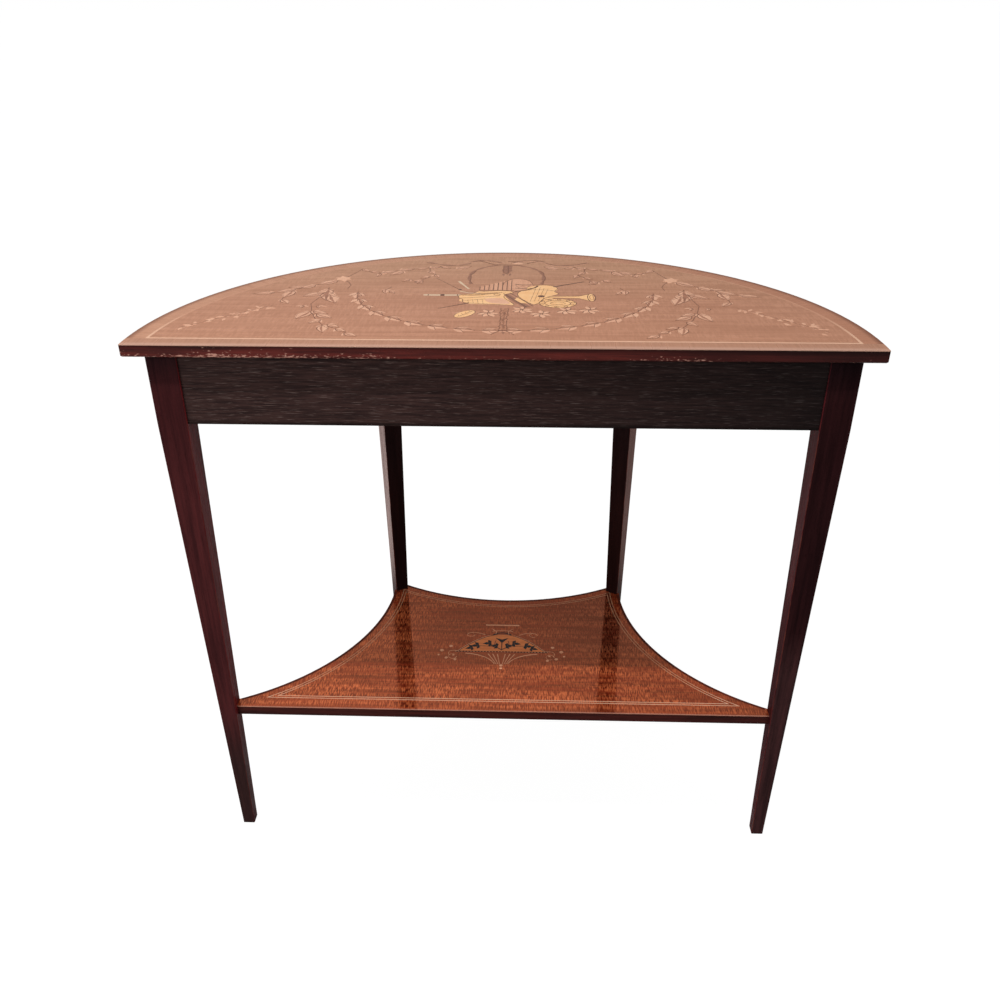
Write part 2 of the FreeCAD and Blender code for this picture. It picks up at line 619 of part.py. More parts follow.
# The lyre's body has a narrow waist between two bouts.
lyre_x, lyre_y = on_top(42, 205)
lyre_long = top_size("lyre_length") / 2
lyre_wide = top_size("lyre_width") / 2
lyre_side = ((-lyre_long, 0.55 * lyre_wide), (-0.7 * lyre_long, lyre_wide),
             (-0.3 * lyre_long, 0.9 * lyre_wide), (0, 0.62 * lyre_wide), (0.3 * lyre_long, 0.72 * lyre_wide),
             (0.7 * lyre_long, 0.85 * lyre_wide), (lyre_long, 0.4 * lyre_wide))
lyre_far_side = tuple((along, -across) for along, across in reversed(lyre_side))
lyre = turned(lyre_side + lyre_far_side, lyre_x, lyre_y, 78)
let_in("trophy_lyre", [lyre], top_field, veneer_z)

# The lute lies on its side, with a rounded back and a square-cut end at the strap.
lute_x, lute_y = on_top(-56, 190)
lute_long = top_size("lute_length")
lute_wide = top_size("lute_width") / 2
lute = turned(((0, 0.35 * lute_wide), (0, -0.55 * lute_wide), (0.2 * lute_long, -0.95 * lute_wide),
               (lute_long, -1.1 * lute_wide), (0.8 * lute_long, 0.5 * lute_wide),
               (0.75 * lute_long, lute_wide), (0.4 * lute_long, 0.9 * lute_wide),
               (0.25 * lute_long, 0.55 * lute_wide)), lute_x, lute_y, 0)
let_in("trophy_lute", [lute], top_field, veneer_z)

drum_x, drum_y = on_top(16, 250)
drum_half = top_size("drum_width") / 2
drum_high = top_size("drum_height")
drum_turns = [math.radians(turn) for turn in range(0, 181, 20)]
drum_arch = [(drum_half * math.cos(turn), drum_high * (0.5 + 0.5 * math.sin(turn))) for turn in drum_turns]
drum = turned([(drum_half, 0)] + drum_arch + [(-drum_half, 0)], drum_x, drum_y - drum_high / 2, 0)
let_in("trophy_drum", [drum], top_field, veneer_z)

pipe_x, pipe_y = on_top(-30, 224)
pipe_step = top_size("pipe_width") + top_size("pipe_gap")
pipe_count = int(size("pipe_count"))
pipes = []
for number in range(pipe_count):
    rise = top_size("pipe_length") * (number + 3) / (pipe_count + 2)
    pipes.append(strip(pipe_x + number * pipe_step, pipe_y, 90, rise, top_size("pipe_width")))
let_in("trophy_pipes", pipes, top_field, veneer_z)

strap_x, strap_y = on_top(-2, 208)
strap = strip(strap_x, strap_y, -62, top_size("strap_length"), top_size("strap_width"))
let_in("trophy_strap", [strap], top_field, veneer_z)

flower_spots = ((-46, 130), (-18, 128), (22, 142), (46, 126), (76, 138), (104, 142))
petal_fan = (-150, -95, -40)
petals = []
for spot in flower_spots:
    for heading in petal_fan:
        foot = ahead(*on_top(*spot), heading, top_size("stalk_gap"))
        petals.append(lozenge(foot, ahead(*foot, heading, top_size("petal_length")), size("petal_fullness")))
let_in("trophy_flowers", petals, top_field, veneer_z)

# Ribbon: a twisted tail under the trophy, two hanging loops over it, and a bow with fluttering ends.
ribbon_lines = [((2, 142), (0, 95), (2, 48))]
for side in (-1, 1):
    ribbon_lines += [((side * 8, 350), (side * 62, 330), (side * 46, 252)),
                     ((side * 6, 358), (side * 30, 384), (side * 50, 366)),
                     ((side * 52, 360), (side * 70, 330), (side * 112, 362)),
                     ((side * 5, 340), (side * 6, 315), (side * 4, 296))]
folds = []
for line in ribbon_lines:
    for x, y, heading in stem(*[on_top(*point) for point in line], top_size("fold_pitch")):
        folds.append(lozenge((x, y), ahead(x, y, heading, top_size("fold_length")), size("fold_fullness")))
let_in("top_ribbon", folds, top_field, veneer_z)

# Garland: husks threaded on a half oval under the trophy, both halves running down to its middle.
garland_x = field_radius - size("garland_margin")
garland_low = top_size("garland_foot")
garland_drop = top_size("garland_centre") - garland_low
per_side = int(size("garland_count") / 2)
husks = []
for side in (-1, 1):
    for number in range(per_side):
        turn = math.radians(90 * (number + 0.3) / per_side)
        x = side * garland_x * math.cos(turn)
        y = back_y + garland_low + garland_drop * (1 - math.sin(turn))
        heading = math.degrees(math.atan2(-garland_drop * math.cos(turn), -side * garland_x * math.sin(turn)))
        husks.append(husk(x, y, heading, top_size("husk_length"), top_size("husk_width")))
let_in("top_garland", husks, top_field, veneer_z)

# Sprays and branches: leaves drawn from foot to tip for the right side and mirrored for the left, and
# husks that trail in line towards the corners.
scroll_leaves = (((223, 265), (246, 244)), ((248, 242), (268, 224)), ((270, 222), (293, 207)),
                 ((295, 206), (320, 200)), ((262, 230), (282, 231)), ((273, 215), (278, 184)),
                 ((230, 208), (255, 190)))
bell_leaves = (((228, 224), (231, 184)), ((225, 212), (221, 172)), ((220, 196), (209, 162)))
sprig_leaves = (((233, 127), (245, 97)), ((229, 128), (210, 117)), ((223, 116), (202, 101)),
                ((247, 151), (247, 140)), ((227, 151), (225, 140)), ((278, 176), (266, 158)))
low_leaves = (((208, 73), (203, 47)), ((203, 76), (187, 67)), ((190, 60), (177, 51)),
              ((178, 46), (162, 34)), ((214, 94), (226, 80)))
trail = ((282, 152), (322, 112), (370, 60))
branch_leaves = (((199, 324), (188, 311)), ((185, 309), (172, 304)), ((172, 301), (174, 286)),
                 ((169, 304), (150, 316)), ((142, 313), (157, 293)), ((147, 318), (127, 326)),
                 ((124, 324), (108, 333)), ((106, 330), (92, 340)), ((91, 336), (78, 330)),
                 ((69, 327), (50, 342)))
hanging_leaves = (((105, 315), (97, 299)), ((96, 297), (90, 283)), ((103, 286), (115, 278)),
                  ((112, 269), (117, 252)), ((120, 264), (108, 251)), ((128, 272), (138, 262)),
                  ((153, 224), (152, 205)), ((148, 216), (140, 206)))


def foliage(side, *sprigs):
    """The leaves of some sprigs, for the right side or, with side -1, mirrored."""
    leaves = []
    for sprig in sprigs:
        for foot, tip in sprig:
            foot = on_top(side * foot[0], foot[1])
            leaves.append(leaf(foot, on_top(side * tip[0], tip[1]), size("leaf_fullness")))
    return leaves


for label, side in (("left", -1), ("right", 1)):
    buds = []
    for x, y, heading in stem(*[on_top(side * x, y) for x, y in trail], top_size("bud_pitch")):
        buds.append(lozenge((x, y), ahead(x, y, heading, top_size("bud_length")), size("bud_fullness")))
    let_in(f"top_{label}_spray", foliage(side, scroll_leaves, bell_leaves, sprig_leaves, low_leaves) + buds,
           top_field, veneer_z)
    let_in(f"top_{label}_branch", foliage(side, branch_leaves, hanging_leaves), top_field, veneer_z)
top_inlay = doc.addObject("Part::Feature", "top_inlay")
top_inlay.Shape = Part.makeCompound([piece.copy() for piece in laid])
sub_part("top_field_veneer", cut("top_field_cut", top_field, top_inlay))

# Urn on the shelf, drawn to be read from the curved side: its foot is towards the curve, its lid
# towards the straight back.
laid = []
shelf_face_z = layout.shelf_veneer_z
shelf_depth = layout.front_y - layout.front_radius - layout.shelf_back_y


def urn_size(alias):
    """A size of the urn, which was drawn for one depth of the shelf at its middle."""
    return size(alias) * shelf_depth / size("drawn_shelf_depth")


urn_x = -urn_size("urn_offset")
rim_line_y = back_y + urn_size("urn_centre")
bowl_half = urn_size("urn_bowl_width") / 2
bowl_deep = urn_size("urn_bowl_height")
leaf_places = (20, 48, 72, 90, 108, 132, 160)
urn_leaves = []
for turn in leaf_places:
    x = urn_x + 0.72 * bowl_half * math.cos(math.radians(turn))
    y = rim_line_y + 0.2 * bowl_deep + 0.4 * bowl_deep * math.sin(math.radians(turn))
    for heading, length in ((45 + turn / 2, "urn_leaf_length"), (270, "urn_bud_length")):
        foot = ahead(x, y, heading, urn_size("stalk_gap"))
        tip = ahead(*foot, heading, urn_size(length))
        urn_leaves.append(lozenge(foot, tip, size("urn_leaf_fullness")))
let_in("urn_leaves", urn_leaves, outlines[3], shelf_face_z)
bowl_turns = [math.radians(turn) for turn in range(0, 181, 10)]
bowl = [(urn_x + bowl_half * math.cos(turn), rim_line_y + bowl_deep * math.sin(turn)) for turn in bowl_turns]
let_in("urn_bowl", [bowl], outlines[3], shelf_face_z)
lid_half = urn_size("urn_lid_width") / 2
lid_high = urn_size("urn_lid_height")
lid_y = rim_line_y - urn_size("urn_rim_gap")
knob_half = urn_size("urn_knob_width") / 2
lid_side = ((lid_half, 0), (0.5 * lid_half, -0.14 * lid_high), (0.25 * lid_half, -0.38 * lid_high),
            (0.13 * lid_half, -0.66 * lid_high), (knob_half, -0.78 * lid_high), (knob_half, -0.92 * lid_high),
            (0.3 * knob_half, -lid_high))
lid = [(urn_x + x, lid_y + y) for x, y in lid_side + tuple((-x, y) for x, y in reversed(lid_side))]
let_in("urn_lid", [lid], outlines[3], shelf_face_z)
foot_y = rim_line_y + bowl_deep + urn_size("urn_stem_height")
foot_wide = urn_size("urn_foot_width")
foot = strip(urn_x - foot_wide / 2, foot_y, 0, foot_wide, urn_size("urn_foot_height"))
let_in("urn_foot", [foot], outlines[3], shelf_face_z)
urn_inlay = doc.addObject("Part::Feature", "urn_inlay")
urn_inlay.Shape = Part.makeCompound([piece.copy() for piece in laid])
sub_part("shelf_field_veneer", cut("shelf_field_cut", outlines[3], urn_inlay))
doc.recompute()

for item in doc.Objects:
    if "Invalid" in item.State or "Error" in item.State:
        raise RuntimeError(f"{item.Label} failed: {item.State}")
for item in sub_parts:
    if item.Shape.isNull() or not item.Shape.isValid() or not item.Shape.Solids:
        raise RuntimeError(f"{item.Label} has no valid shape")

os.makedirs("parts", exist_ok=True)
for item in sub_parts:
    item.Shape.exportStep(f"parts/{item.Label}.step")
    print(item.Label, len(item.Shape.Solids), round(item.Shape.Volume, 1))
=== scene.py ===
import bmesh
import bpy
import math
import random
from mathutils import Matrix, Vector


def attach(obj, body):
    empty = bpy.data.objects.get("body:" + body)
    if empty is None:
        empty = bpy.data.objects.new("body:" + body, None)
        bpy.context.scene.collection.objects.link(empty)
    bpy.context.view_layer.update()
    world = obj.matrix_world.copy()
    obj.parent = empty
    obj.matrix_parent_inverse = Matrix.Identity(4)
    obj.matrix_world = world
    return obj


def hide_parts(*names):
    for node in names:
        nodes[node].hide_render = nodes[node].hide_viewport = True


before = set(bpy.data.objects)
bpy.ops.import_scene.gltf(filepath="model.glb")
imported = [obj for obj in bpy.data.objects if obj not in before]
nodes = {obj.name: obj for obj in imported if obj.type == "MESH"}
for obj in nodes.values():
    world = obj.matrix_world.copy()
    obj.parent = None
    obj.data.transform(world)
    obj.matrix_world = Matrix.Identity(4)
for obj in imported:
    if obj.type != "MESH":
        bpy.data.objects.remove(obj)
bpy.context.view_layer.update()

# The four legs: solid mahogany, planed square at the rails and tapered on all four faces to small feet.
# They carry an old, dark French polish that is rubbed thin along the arrises and changes tone near the floor.
# Painted light makes their low faces and side faces lighter. Painted shade darkens them under the top, and also
# darkens the front legs and the right back leg.


def made(tree, kind, inputs=None, **settings):
    """Adds a shader node with its settings; each input is linked to a socket or set to a value."""
    node = tree.nodes.new("ShaderNode" + kind)
    for name, value in settings.items():
        setattr(node, name, value)
    for key, value in (inputs or {}).items():
        if isinstance(value, bpy.types.NodeSocket):
            tree.links.new(value, node.inputs[key])
        else:
            node.inputs[key].default_value = value
    return node


def reckoned(tree, operation, *values):
    """One step of arithmetic on sockets and numbers."""
    return made(tree, "Math", dict(enumerate(values)), operation=operation).outputs[0]


def fades(tree, socket, clear=0.0, full=1.0, low=0.0, high=1.0, curve="LINEAR"):
    """Runs from low to high while a socket runs from clear to full."""
    inputs = {"Value": socket, "From Min": clear, "From Max": full, "To Min": low, "To Max": high}
    return made(tree, "MapRange", inputs, interpolation_type=curve).outputs[0]


def group_of(name, takes, gives):
    """A new node group with its inner ends; it takes a vector and numbers, and gives numbers."""
    group = bpy.data.node_groups.new(name, "ShaderNodeTree")
    for label in takes:
        kind = "NodeSocketVector" if label == "Vector" else "NodeSocketFloat"
        group.interface.new_socket(label, in_out="INPUT", socket_type=kind)
    for label in gives:
        group.interface.new_socket(label, in_out="OUTPUT", socket_type="NodeSocketFloat")
    return group, group.nodes.new("NodeGroupInput").outputs, group.nodes.new("NodeGroupOutput").inputs


def grain_group():
    """Streaks, pores, cross ripple and slow drift of a timber whose grain runs along the vector's X."""
    group, start, end = group_of("timber_grain", ("Vector", "Streak Scale", "Ripple Scale", "Pore Scale"),
                                 ("Streaks", "Pores", "Ripple", "Drift", "Height"))

    def mask(stretch, scale, detail, low, high):
        pulled = made(group, "VectorMath", {0: start["Vector"], 1: stretch}, operation="MULTIPLY")
        noise = made(group, "TexNoise", {"Vector": pulled.outputs[0], "Scale": scale, "Detail": detail,
                                         "Roughness": 0.62})
        return fades(group, noise.outputs[0], low, high, curve="SMOOTHSTEP")

    streaks = mask((0.045, 1.0, 1.0), start["Streak Scale"], 6.0, 0.3, 0.7)
    pores = mask((0.05, 1.0, 1.0), start["Pore Scale"], 2.0, 0.57, 0.72)
    bands = mask((1.0, 0.12, 0.12), start["Ripple Scale"], 1.0, 0.4, 0.62)
    rows = mask((0.1, 1.0, 1.0), 90.0, 1.0, 0.34, 0.62)
    drift = mask((0.35, 1.0, 1.0), 7.0, 3.0, 0.3, 0.7)
    ripple = reckoned(group, "MULTIPLY", bands, reckoned(group, "MULTIPLY_ADD", drift, 0.6, 0.4))
    ripple = reckoned(group, "MULTIPLY", ripple, reckoned(group, "MULTIPLY_ADD", rows, 0.7, 0.3))
    height = reckoned(group, "SUBTRACT", reckoned(group, "MULTIPLY", streaks, 0.35), pores)
    for slot, socket in enumerate((streaks, pores, ripple, drift, height)):
        group.links.new(socket, end[slot])
    return group


timber_grain = grain_group()
back_edge_y = -0.21
mean_radius = 0.4


def place_on(tree, axis):
    """One measure of the place on the piece, in metres: 0 along the straight edge, 1 in depth, 2 in height."""
    return made(tree, "SeparateXYZ", {0: made(tree, "TexCoord").outputs["Object"]}).outputs[axis]


def along_grain(tree, run):
    """The place on the piece with its first number along the grain: x, y, z, round the curve or across it."""
    x, y, z = made(tree, "SeparateXYZ", {0: made(tree, "TexCoord").outputs["Object"]}).outputs
    if run in ("curve", "radius"):
        depth = reckoned(tree, "SUBTRACT", y, back_edge_y)
        arc = reckoned(tree, "MULTIPLY", reckoned(tree, "ARCTAN2", x, depth), mean_radius)
        flat = made(tree, "CombineXYZ", {0: x, 1: depth}).outputs[0]
        reach = made(tree, "VectorMath", {0: flat}, operation="LENGTH").outputs["Value"]
        order = (arc, reach, z) if run == "curve" else (reach, arc, z)
    else:
        order = {"x": (x, y, z), "y": (y, x, z), "z": (z, x, y)}[run]
    return made(tree, "CombineXYZ", dict(enumerate(order))).outputs[0]


def blended(tree, factor, first, second, mode="MIX"):
    """Mixes two colours, or a colour and a socket, by a factor."""
    first, second = ((*value, 1.0) if isinstance(value, tuple) else value for value in (first, second))
    return made(tree, "Mix", {0: factor, 6: first, 7: second}, data_type="RGBA", blend_type=mode).outputs[2]


def toned(tree, tone, factors):
    """A tone made darker or lighter by one factor for each colour."""
    return blended(tree, 1.0, tone, factors, "MULTIPLY")


def shaded(tree, tone, along, clear, full, factors):
    """A tone that is made darker or lighter while a socket runs from clear to full."""
    return blended(tree, fades(tree, along, clear, full), tone, toned(tree, tone, factors))


def polished_timber(name, run, dark, light, flash=None, streak=150.0, ripple=190.0, pore=900.0, ripple_mix=0.0,
                    pore_mix=0.5, pore_tone=None, gloss=(0.2, 0.34), sheen=0.5, sheen_tint=(1.0, 1.0, 1.0),
                    bump=0.0002, ior=None, wear_and_light=None):
    """A polished timber: streaks and drift between two tones, flashes of ripple across the grain and dark open
    pores. aged takes the tree and the tone and gives the tone with its wear and with painted light and shade."""
    finish = bpy.data.materials.new(name)
    finish.use_nodes = True
    tree = finish.node_tree
    shader = tree.nodes["Principled BSDF"]
    grain = made(tree, "Group", {"Vector": along_grain(tree, run), "Streak Scale": streak, "Ripple Scale": ripple,
                                 "Pore Scale": pore}, node_tree=timber_grain).outputs
    middle = tuple((a + b) / 2 for a, b in zip(dark, light))
    tone = blended(tree, grain["Streaks"], dark, light)
    tone = blended(tree, fades(tree, grain["Drift"], high=0.45), tone, middle)
    if ripple_mix:
        tone = blended(tree, fades(tree, grain["Ripple"], high=ripple_mix), tone, flash)
    pore_tone = pore_tone or tuple(value * 0.45 for value in dark)
    tone = blended(tree, fades(tree, grain["Pores"], high=pore_mix), tone, pore_tone)
    if wear_and_light:
        tone = wear_and_light(tree, tone)
    rough = fades(tree, grain["Streaks"], low=gloss[1], high=gloss[0])
    relief = made(tree, "Bump", {"Strength": 0.35, "Distance": bump, "Height": grain["Height"]})
    for label, socket in (("Base Color", tone), ("Roughness", rough), ("Normal", relief.outputs[0])):
        tree.links.new(socket, shader.inputs[label])
    shader.inputs["Specular IOR Level"].default_value = sheen
    shader.inputs["Specular Tint"].default_value = (*sheen_tint, 1.0)
    if ior:
        shader.inputs["IOR"].default_value = ior
    return finish


def dressed(finish, *names):
    """Gives CAD pieces their finish."""
    for name in names:
        for slot in nodes[name].material_slots:
            slot.material = finish


def wear_group():
    """Wear on the narrow flats of planed arrises, where the two facings are about equal, broken by patches."""
    group, start, end = group_of("worn_arris", ("Vector", "First Facing", "Second Facing", "Patch Scale"), ("Wear",))
    both = reckoned(group, "MULTIPLY", start["First Facing"], start["Second Facing"])
    flat = fades(group, reckoned(group, "ABSOLUTE", both), 0.15, 0.4)
    patch = made(group, "TexNoise", {"Vector": start["Vector"], "Scale": start["Patch Scale"], "Detail": 4.0})
    broken = fades(group, patch.outputs[0], 0.4, 0.62)
    group.links.new(reckoned(group, "MULTIPLY", flat, broken), end["Wear"])
    return group


worn_arris = wear_group()
leg_rubbed = (0.13, 0.035, 0.025)
leg_patch = 60.0
straight_face = (-0.95, -0.8)
# The legs' upper ends, under the top, are darkened with painted shadow of the top's overhang.
under_top = (0.69, 0.735)
beside_rails = (0.64, 0.665)
overhang_shadow_tone = (0.45, 0.75, 0.8)
by_floor = (0.22, 0.12)


def worn_and_lit(tree, tone, turn, lit_low_tone, low_range, foot_tone, lit_side_tone):
    """Paints light on a leg's face to the straight edge low down and on its other faces, paints the top's shadow
    near its top, shifts its tone near the floor and wears the arrises; it turns about Z.
    """
    place = made(tree, "TexCoord").outputs
    facing = made(tree, "VectorRotate", {"Vector": place["Normal"], "Angle": -turn}, rotation_type="Z_AXIS")
    across, ahead, _ = made(tree, "SeparateXYZ", {0: facing.outputs[0]}).outputs
    wear = made(tree, "Group", {"Vector": place["Object"], "First Facing": across, "Second Facing": ahead,
                                "Patch Scale": leg_patch}, node_tree=worn_arris).outputs["Wear"]
    height = place_on(tree, 2)
    lit_low = shaded(tree, tone, height, *low_range, lit_low_tone)
    tone = blended(tree, fades(tree, ahead, *straight_face), lit_low, toned(tree, tone, lit_side_tone))
    tone = shaded(tree, tone, height, *by_floor, foot_tone)
    tone = shaded(tree, tone, height, *under_top, overhang_shadow_tone)
    worn = blended(tree, fades(tree, height, *beside_rails), leg_rubbed, tone)
    return blended(tree, wear, tone, worn)


plain = (1.0, 1.0, 1.0)
front_turn = math.radians(27.7)
# The front legs' tones are dark as painted shade, and their side tone paints their other faces lighter as lit sides.
front_shaded_tones = ((0.008, 0.0032, 0.0032), (0.02, 0.0075, 0.0075), 0.05)
front_shading = (plain, (0.3, 0.2), plain, (3.0, 2.4, 2.4))
# Each row: leg, dark and light tones, sheen, turn, painted light on the low face and the heights it fades over, tone
# near the floor, and painted light on the side faces.
leg_looks = (
    ("back_left_leg", (0.028, 0.007, 0.008), (0.06, 0.0135, 0.0145), 0.03,
     0.0, (1.5, 1.45, 1.4), (0.66, 0.56), (0.58, 1.05, 0.95), (2.9, 1.35, 1.35)),
    # The right back leg's tones are darker than the left's, as painted shade for the weaker light on it.
    ("back_right_leg", (0.013, 0.0046, 0.0052), (0.033, 0.0095, 0.0105), 0.012,
     0.0, (2.1, 2.7, 2.5), (0.37, 0.3), plain, (3.0, 1.5, 1.6)),
    ("front_left_leg", *front_shaded_tones, front_turn, *front_shading),
    ("front_right_leg", *front_shaded_tones, -front_turn, *front_shading))
for leg, leg_dark, leg_light, leg_sheen, *leg_shading_and_wear in leg_looks:
    leg_polish = polished_timber(
        leg + "_polish", "z", leg_dark, leg_light, streak=170.0, pore=1100.0, gloss=(0.24, 0.36), sheen=leg_sheen,
        sheen_tint=(1.0, 0.62, 0.62), wear_and_light=lambda tree, tone: worn_and_lit(tree, tone, *leg_shading_and_wear))
    dressed(leg_polish, leg)

# The back rail: one straight rail tenoned into the back legs. It is stained almost black and only thinly
# polished, so its open grain shows as fine level lines.


def rail_light_and_shade(tree, tone):
    """Paints the rail lighter to the left and darker to the right as painted light, darkens it along its lower
    edge, and paints the shadow of the top along its upper edge.
    """
    tone = blended(tree, fades(tree, place_on(tree, 0), -0.12, 0.36), toned(tree, tone, (1.3, 1.25, 1.25)),
                   toned(tree, tone, (0.42, 0.46, 0.5)))
    for clear, full in ((0.6565, 0.6525), (0.7285, 0.7335)):
        tone = shaded(tree, tone, place_on(tree, 2), clear, full, (0.4, 0.36, 0.34))
    return tone


rail_polish = polished_timber(
    "rail_stain", "x", (0.013, 0.0066, 0.0064), (0.045, 0.0225, 0.0195), streak=560.0, pore=1050.0, pore_mix=0.75,
    pore_tone=(0.12, 0.085, 0.075), gloss=(0.4, 0.58), sheen=0.08, bump=0.0006, wear_and_light=rail_light_and_shade)
dressed(rail_polish, "back_rail")

# The curved friezes: built up rails of plain timber between the legs, faced with mahogany veneer whose
# grain follows the curve. Their inner faces and lower edges are bare and darkened.
frieze_polish = polished_timber(
    "frieze_polish", "curve", (0.09, 0.022, 0.014), (0.22, 0.06, 0.034), (0.34, 0.11, 0.06), streak=120.0,
    ripple=240.0, ripple_mix=0.5, gloss=(0.2, 0.32))
dressed(frieze_polish, "frieze_left_veneer", "frieze_centre_veneer", "frieze_right_veneer")
frieze_timber = polished_timber("frieze_timber", "curve", (0.06, 0.034, 0.02), (0.12, 0.07, 0.042), streak=200.0,
                                pore_mix=0.35, gloss=(0.6, 0.75), bump=0.0005)
dressed(frieze_timber, "frieze_left", "frieze_centre", "frieze_right")

# The fixings: beech dowels that pin the shelf's corners to the legs, and steel screws that come up
# through the rails into the top. Both are hidden once the table stands.
dowel_timber = polished_timber("dowel_beech", "x", (0.4, 0.26, 0.15), (0.58, 0.4, 0.25), streak=600.0,
                               gloss=(0.55, 0.7))
dressed(dowel_timber, "shelf_dowels")
screw_steel = bpy.data.materials.new("screw_steel")
screw_steel.use_nodes = True
screw_tree = screw_steel.node_tree
screw_shader = screw_tree.nodes["Principled BSDF"]
screw_shader.inputs["Metallic"].default_value = 1.0
tarnish = made(screw_tree, "TexNoise", {"Vector": made(screw_tree, "TexCoord").outputs["Object"], "Scale": 900.0,
                                        "Detail": 4.0}).outputs[0]
screw_tree.links.new(blended(screw_tree, tarnish, (0.22, 0.2, 0.18), (0.5, 0.48, 0.44)),
                     screw_shader.inputs["Base Color"])
screw_tree.links.new(fades(screw_tree, tarnish, low=0.3, high=0.6), screw_shader.inputs["Roughness"])
dressed(screw_steel, "top_screws")

# The shelf board: a mahogany board with three hollow sides, notched round the legs and veneered on top.
# Only its dark polished edges show.
shelf_edge_polish = polished_timber("shelf_edge_polish", "x", (0.022, 0.005, 0.0045), (0.075, 0.014, 0.011),
                                    streak=240.0, gloss=(0.28, 0.42), sheen=0.06)
dressed(shelf_edge_polish, "shelf_board")

# The shelf's veneers: a field of strongly rippled mahogany under a thick clear polish, with a band of the
# same veneer round it whose ripple runs out to the straight edge. The fibres under the polish throw back a
# warm gleam.
shelf_flash = (1.0, 0.25, 0.085)
shelf_arris = (0.5, 0.25, 0.19)
deep_polish = {"ior": 3.0, "sheen_tint": (1.0, 0.3, 0.135)}


# The field's far right is darkened with painted shade.
def far_right_shade(tree, tone):
    """Paints shade on the far part of the field at its right."""
    dark = shaded(tree, tone, place_on(tree, 0), 0.0, 0.12, (0.68, 0.76, 0.95))
    return blended(tree, fades(tree, place_on(tree, 1), -0.08, -0.03), tone, dark)


def pale_arris(tree, tone):
    """Rubs the band pale along the straight edge."""
    return blended(tree, fades(tree, place_on(tree, 1), -0.1838, -0.1855), tone, shelf_arris)


shelf_polish = polished_timber(
    "shelf_polish", "x", (0.065, 0.0065, 0.0025), (0.25, 0.026, 0.0085), shelf_flash, streak=260.0, ripple=720.0,
    pore=700.0, ripple_mix=1.0, pore_mix=0.7, gloss=(0.03, 0.07), bump=0.00006, wear_and_light=far_right_shade, **deep_polish)
dressed(shelf_polish, "shelf_field_veneer", "shelf_line_band")
band_polish = polished_timber(
    "shelf_band_polish", "x", (0.09, 0.009, 0.0035), (0.3, 0.034, 0.011), shelf_flash, streak=220.0, ripple=640.0,
    ripple_mix=0.8, gloss=(0.03, 0.07), bump=0.00006, wear_and_light=pale_arris, **deep_polish)
dressed(band_polish, "shelf_crossband")

# The shelf's stringing: two fine lines of boxwood let in between the band and the field. They are browner
# along the hollow sides than along the straight edge.
shelf_line_polish = polished_timber(
    "shelf_line_polish", "x", (0.82, 0.46, 0.3), (1.0, 0.64, 0.44), streak=500.0, pore=2200.0, pore_mix=0.25,
    gloss=(0.06, 0.12), **deep_polish,
    wear_and_light=lambda tree, tone: shaded(tree, tone, place_on(tree, 1), -0.155, -0.11, (0.68, 0.58, 0.5)))
dressed(shelf_line_polish, "shelf_stringing")

# The urn in the shelf: bowl, lid and foot sawn from satinwood and sycamore, with one row of dark trefoils on
# the bowl. Fine lines, scrolls and dots round it are let in as threads of pale and dark wood.
thread_lift = 0.00004
inlay_thick = 0.0003
ply_step = 0.0000015
ply_count = 12


def bent(start, bend, end, steps=10):
    """Points along a bent stem, in millimetres from the middle of the straight edge."""
    shares = [step / steps for step in range(steps + 1)]
    return [tuple((1 - t) ** 2 * a + 2 * t * (1 - t) * b + t ** 2 * c for a, b, c in zip(start, bend, end))
            for t in shares]


def placed(points, x, y, heading):
    """Points moved to a place and turned to a heading in degrees."""
    c, s = math.cos(math.radians(heading)), math.sin(math.radians(heading))
    return [(x + c * along - s * across, y + s * along + c * across) for along, across in points]


def arc_line(x, y, along, across, first, last, steps=16, lean=0.0):
    """Points along part of an oval; angles in degrees."""
    turns = [math.radians(first + (last - first) * step / steps) for step in range(steps + 1)]
    return placed([(along * math.cos(turn), across * math.sin(turn)) for turn in turns], x, y, lean)


def dot(x, y, radius, sides=10):
    """The outline of a small round inlay."""
    return arc_line(x, y, radius, radius, 0, 360 - 360 / sides, sides - 1)


def edges_of(points, halves):
    """The two edges of a strip along points, given its half width at each of them."""
    left = []
    right = []
    for index, ((x, y), half) in enumerate(zip(points, halves)):
        before, after = points[max(index - 1, 0)], points[min(index + 1, len(points) - 1)]
        reach = math.dist(before, after) or 1.0
        across = ((before[1] - after[1]) / reach, (after[0] - before[0]) / reach)
        left.append((x + across[0] * half, y + across[1] * half))
        right.append((x - across[0] * half, y - across[1] * half))
    return left, right


def thread(points, width, end_width=None):
    """The outline of a thread of veneer along points; it may thin towards its end."""
    end_width = width if end_width is None else end_width
    last = len(points) - 1
    left, right = edges_of(points, [(width + (end_width - width) * index / last) / 2 for index in range(last + 1)])
    return left + right[::-1]


def inlay_piece(name, shapes, z, finish):
    """One mesh of thin closed veneer shapes let in with their faces at a height, riding with the table."""
    mesh = bpy.data.meshes.new(name)
    build = bmesh.new()
    for number, shape in enumerate(shapes):
        ply = z + ply_step * (number % ply_count)
        face, under = [[build.verts.new((x / 1000, back_edge_y + y / 1000, level)) for x, y in shape]
                       for level in (ply, ply - inlay_thick)]
        build.faces.new(face)
        build.faces.new(under[::-1])
        for index in range(len(shape)):
            build.faces.new((face[index - 1], under[index - 1], under[index], face[index]))
    bmesh.ops.recalc_face_normals(build, faces=build.faces)
    bmesh.ops.triangulate(build, faces=[side for side in build.faces if len(side.verts) > 4])
    build.to_mesh(mesh)
    build.free()
    piece = bpy.data.objects.new(name, mesh)
    bpy.context.scene.collection.objects.link(piece)
    mesh.materials.append(finish)
    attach(piece, "root")
    return piece


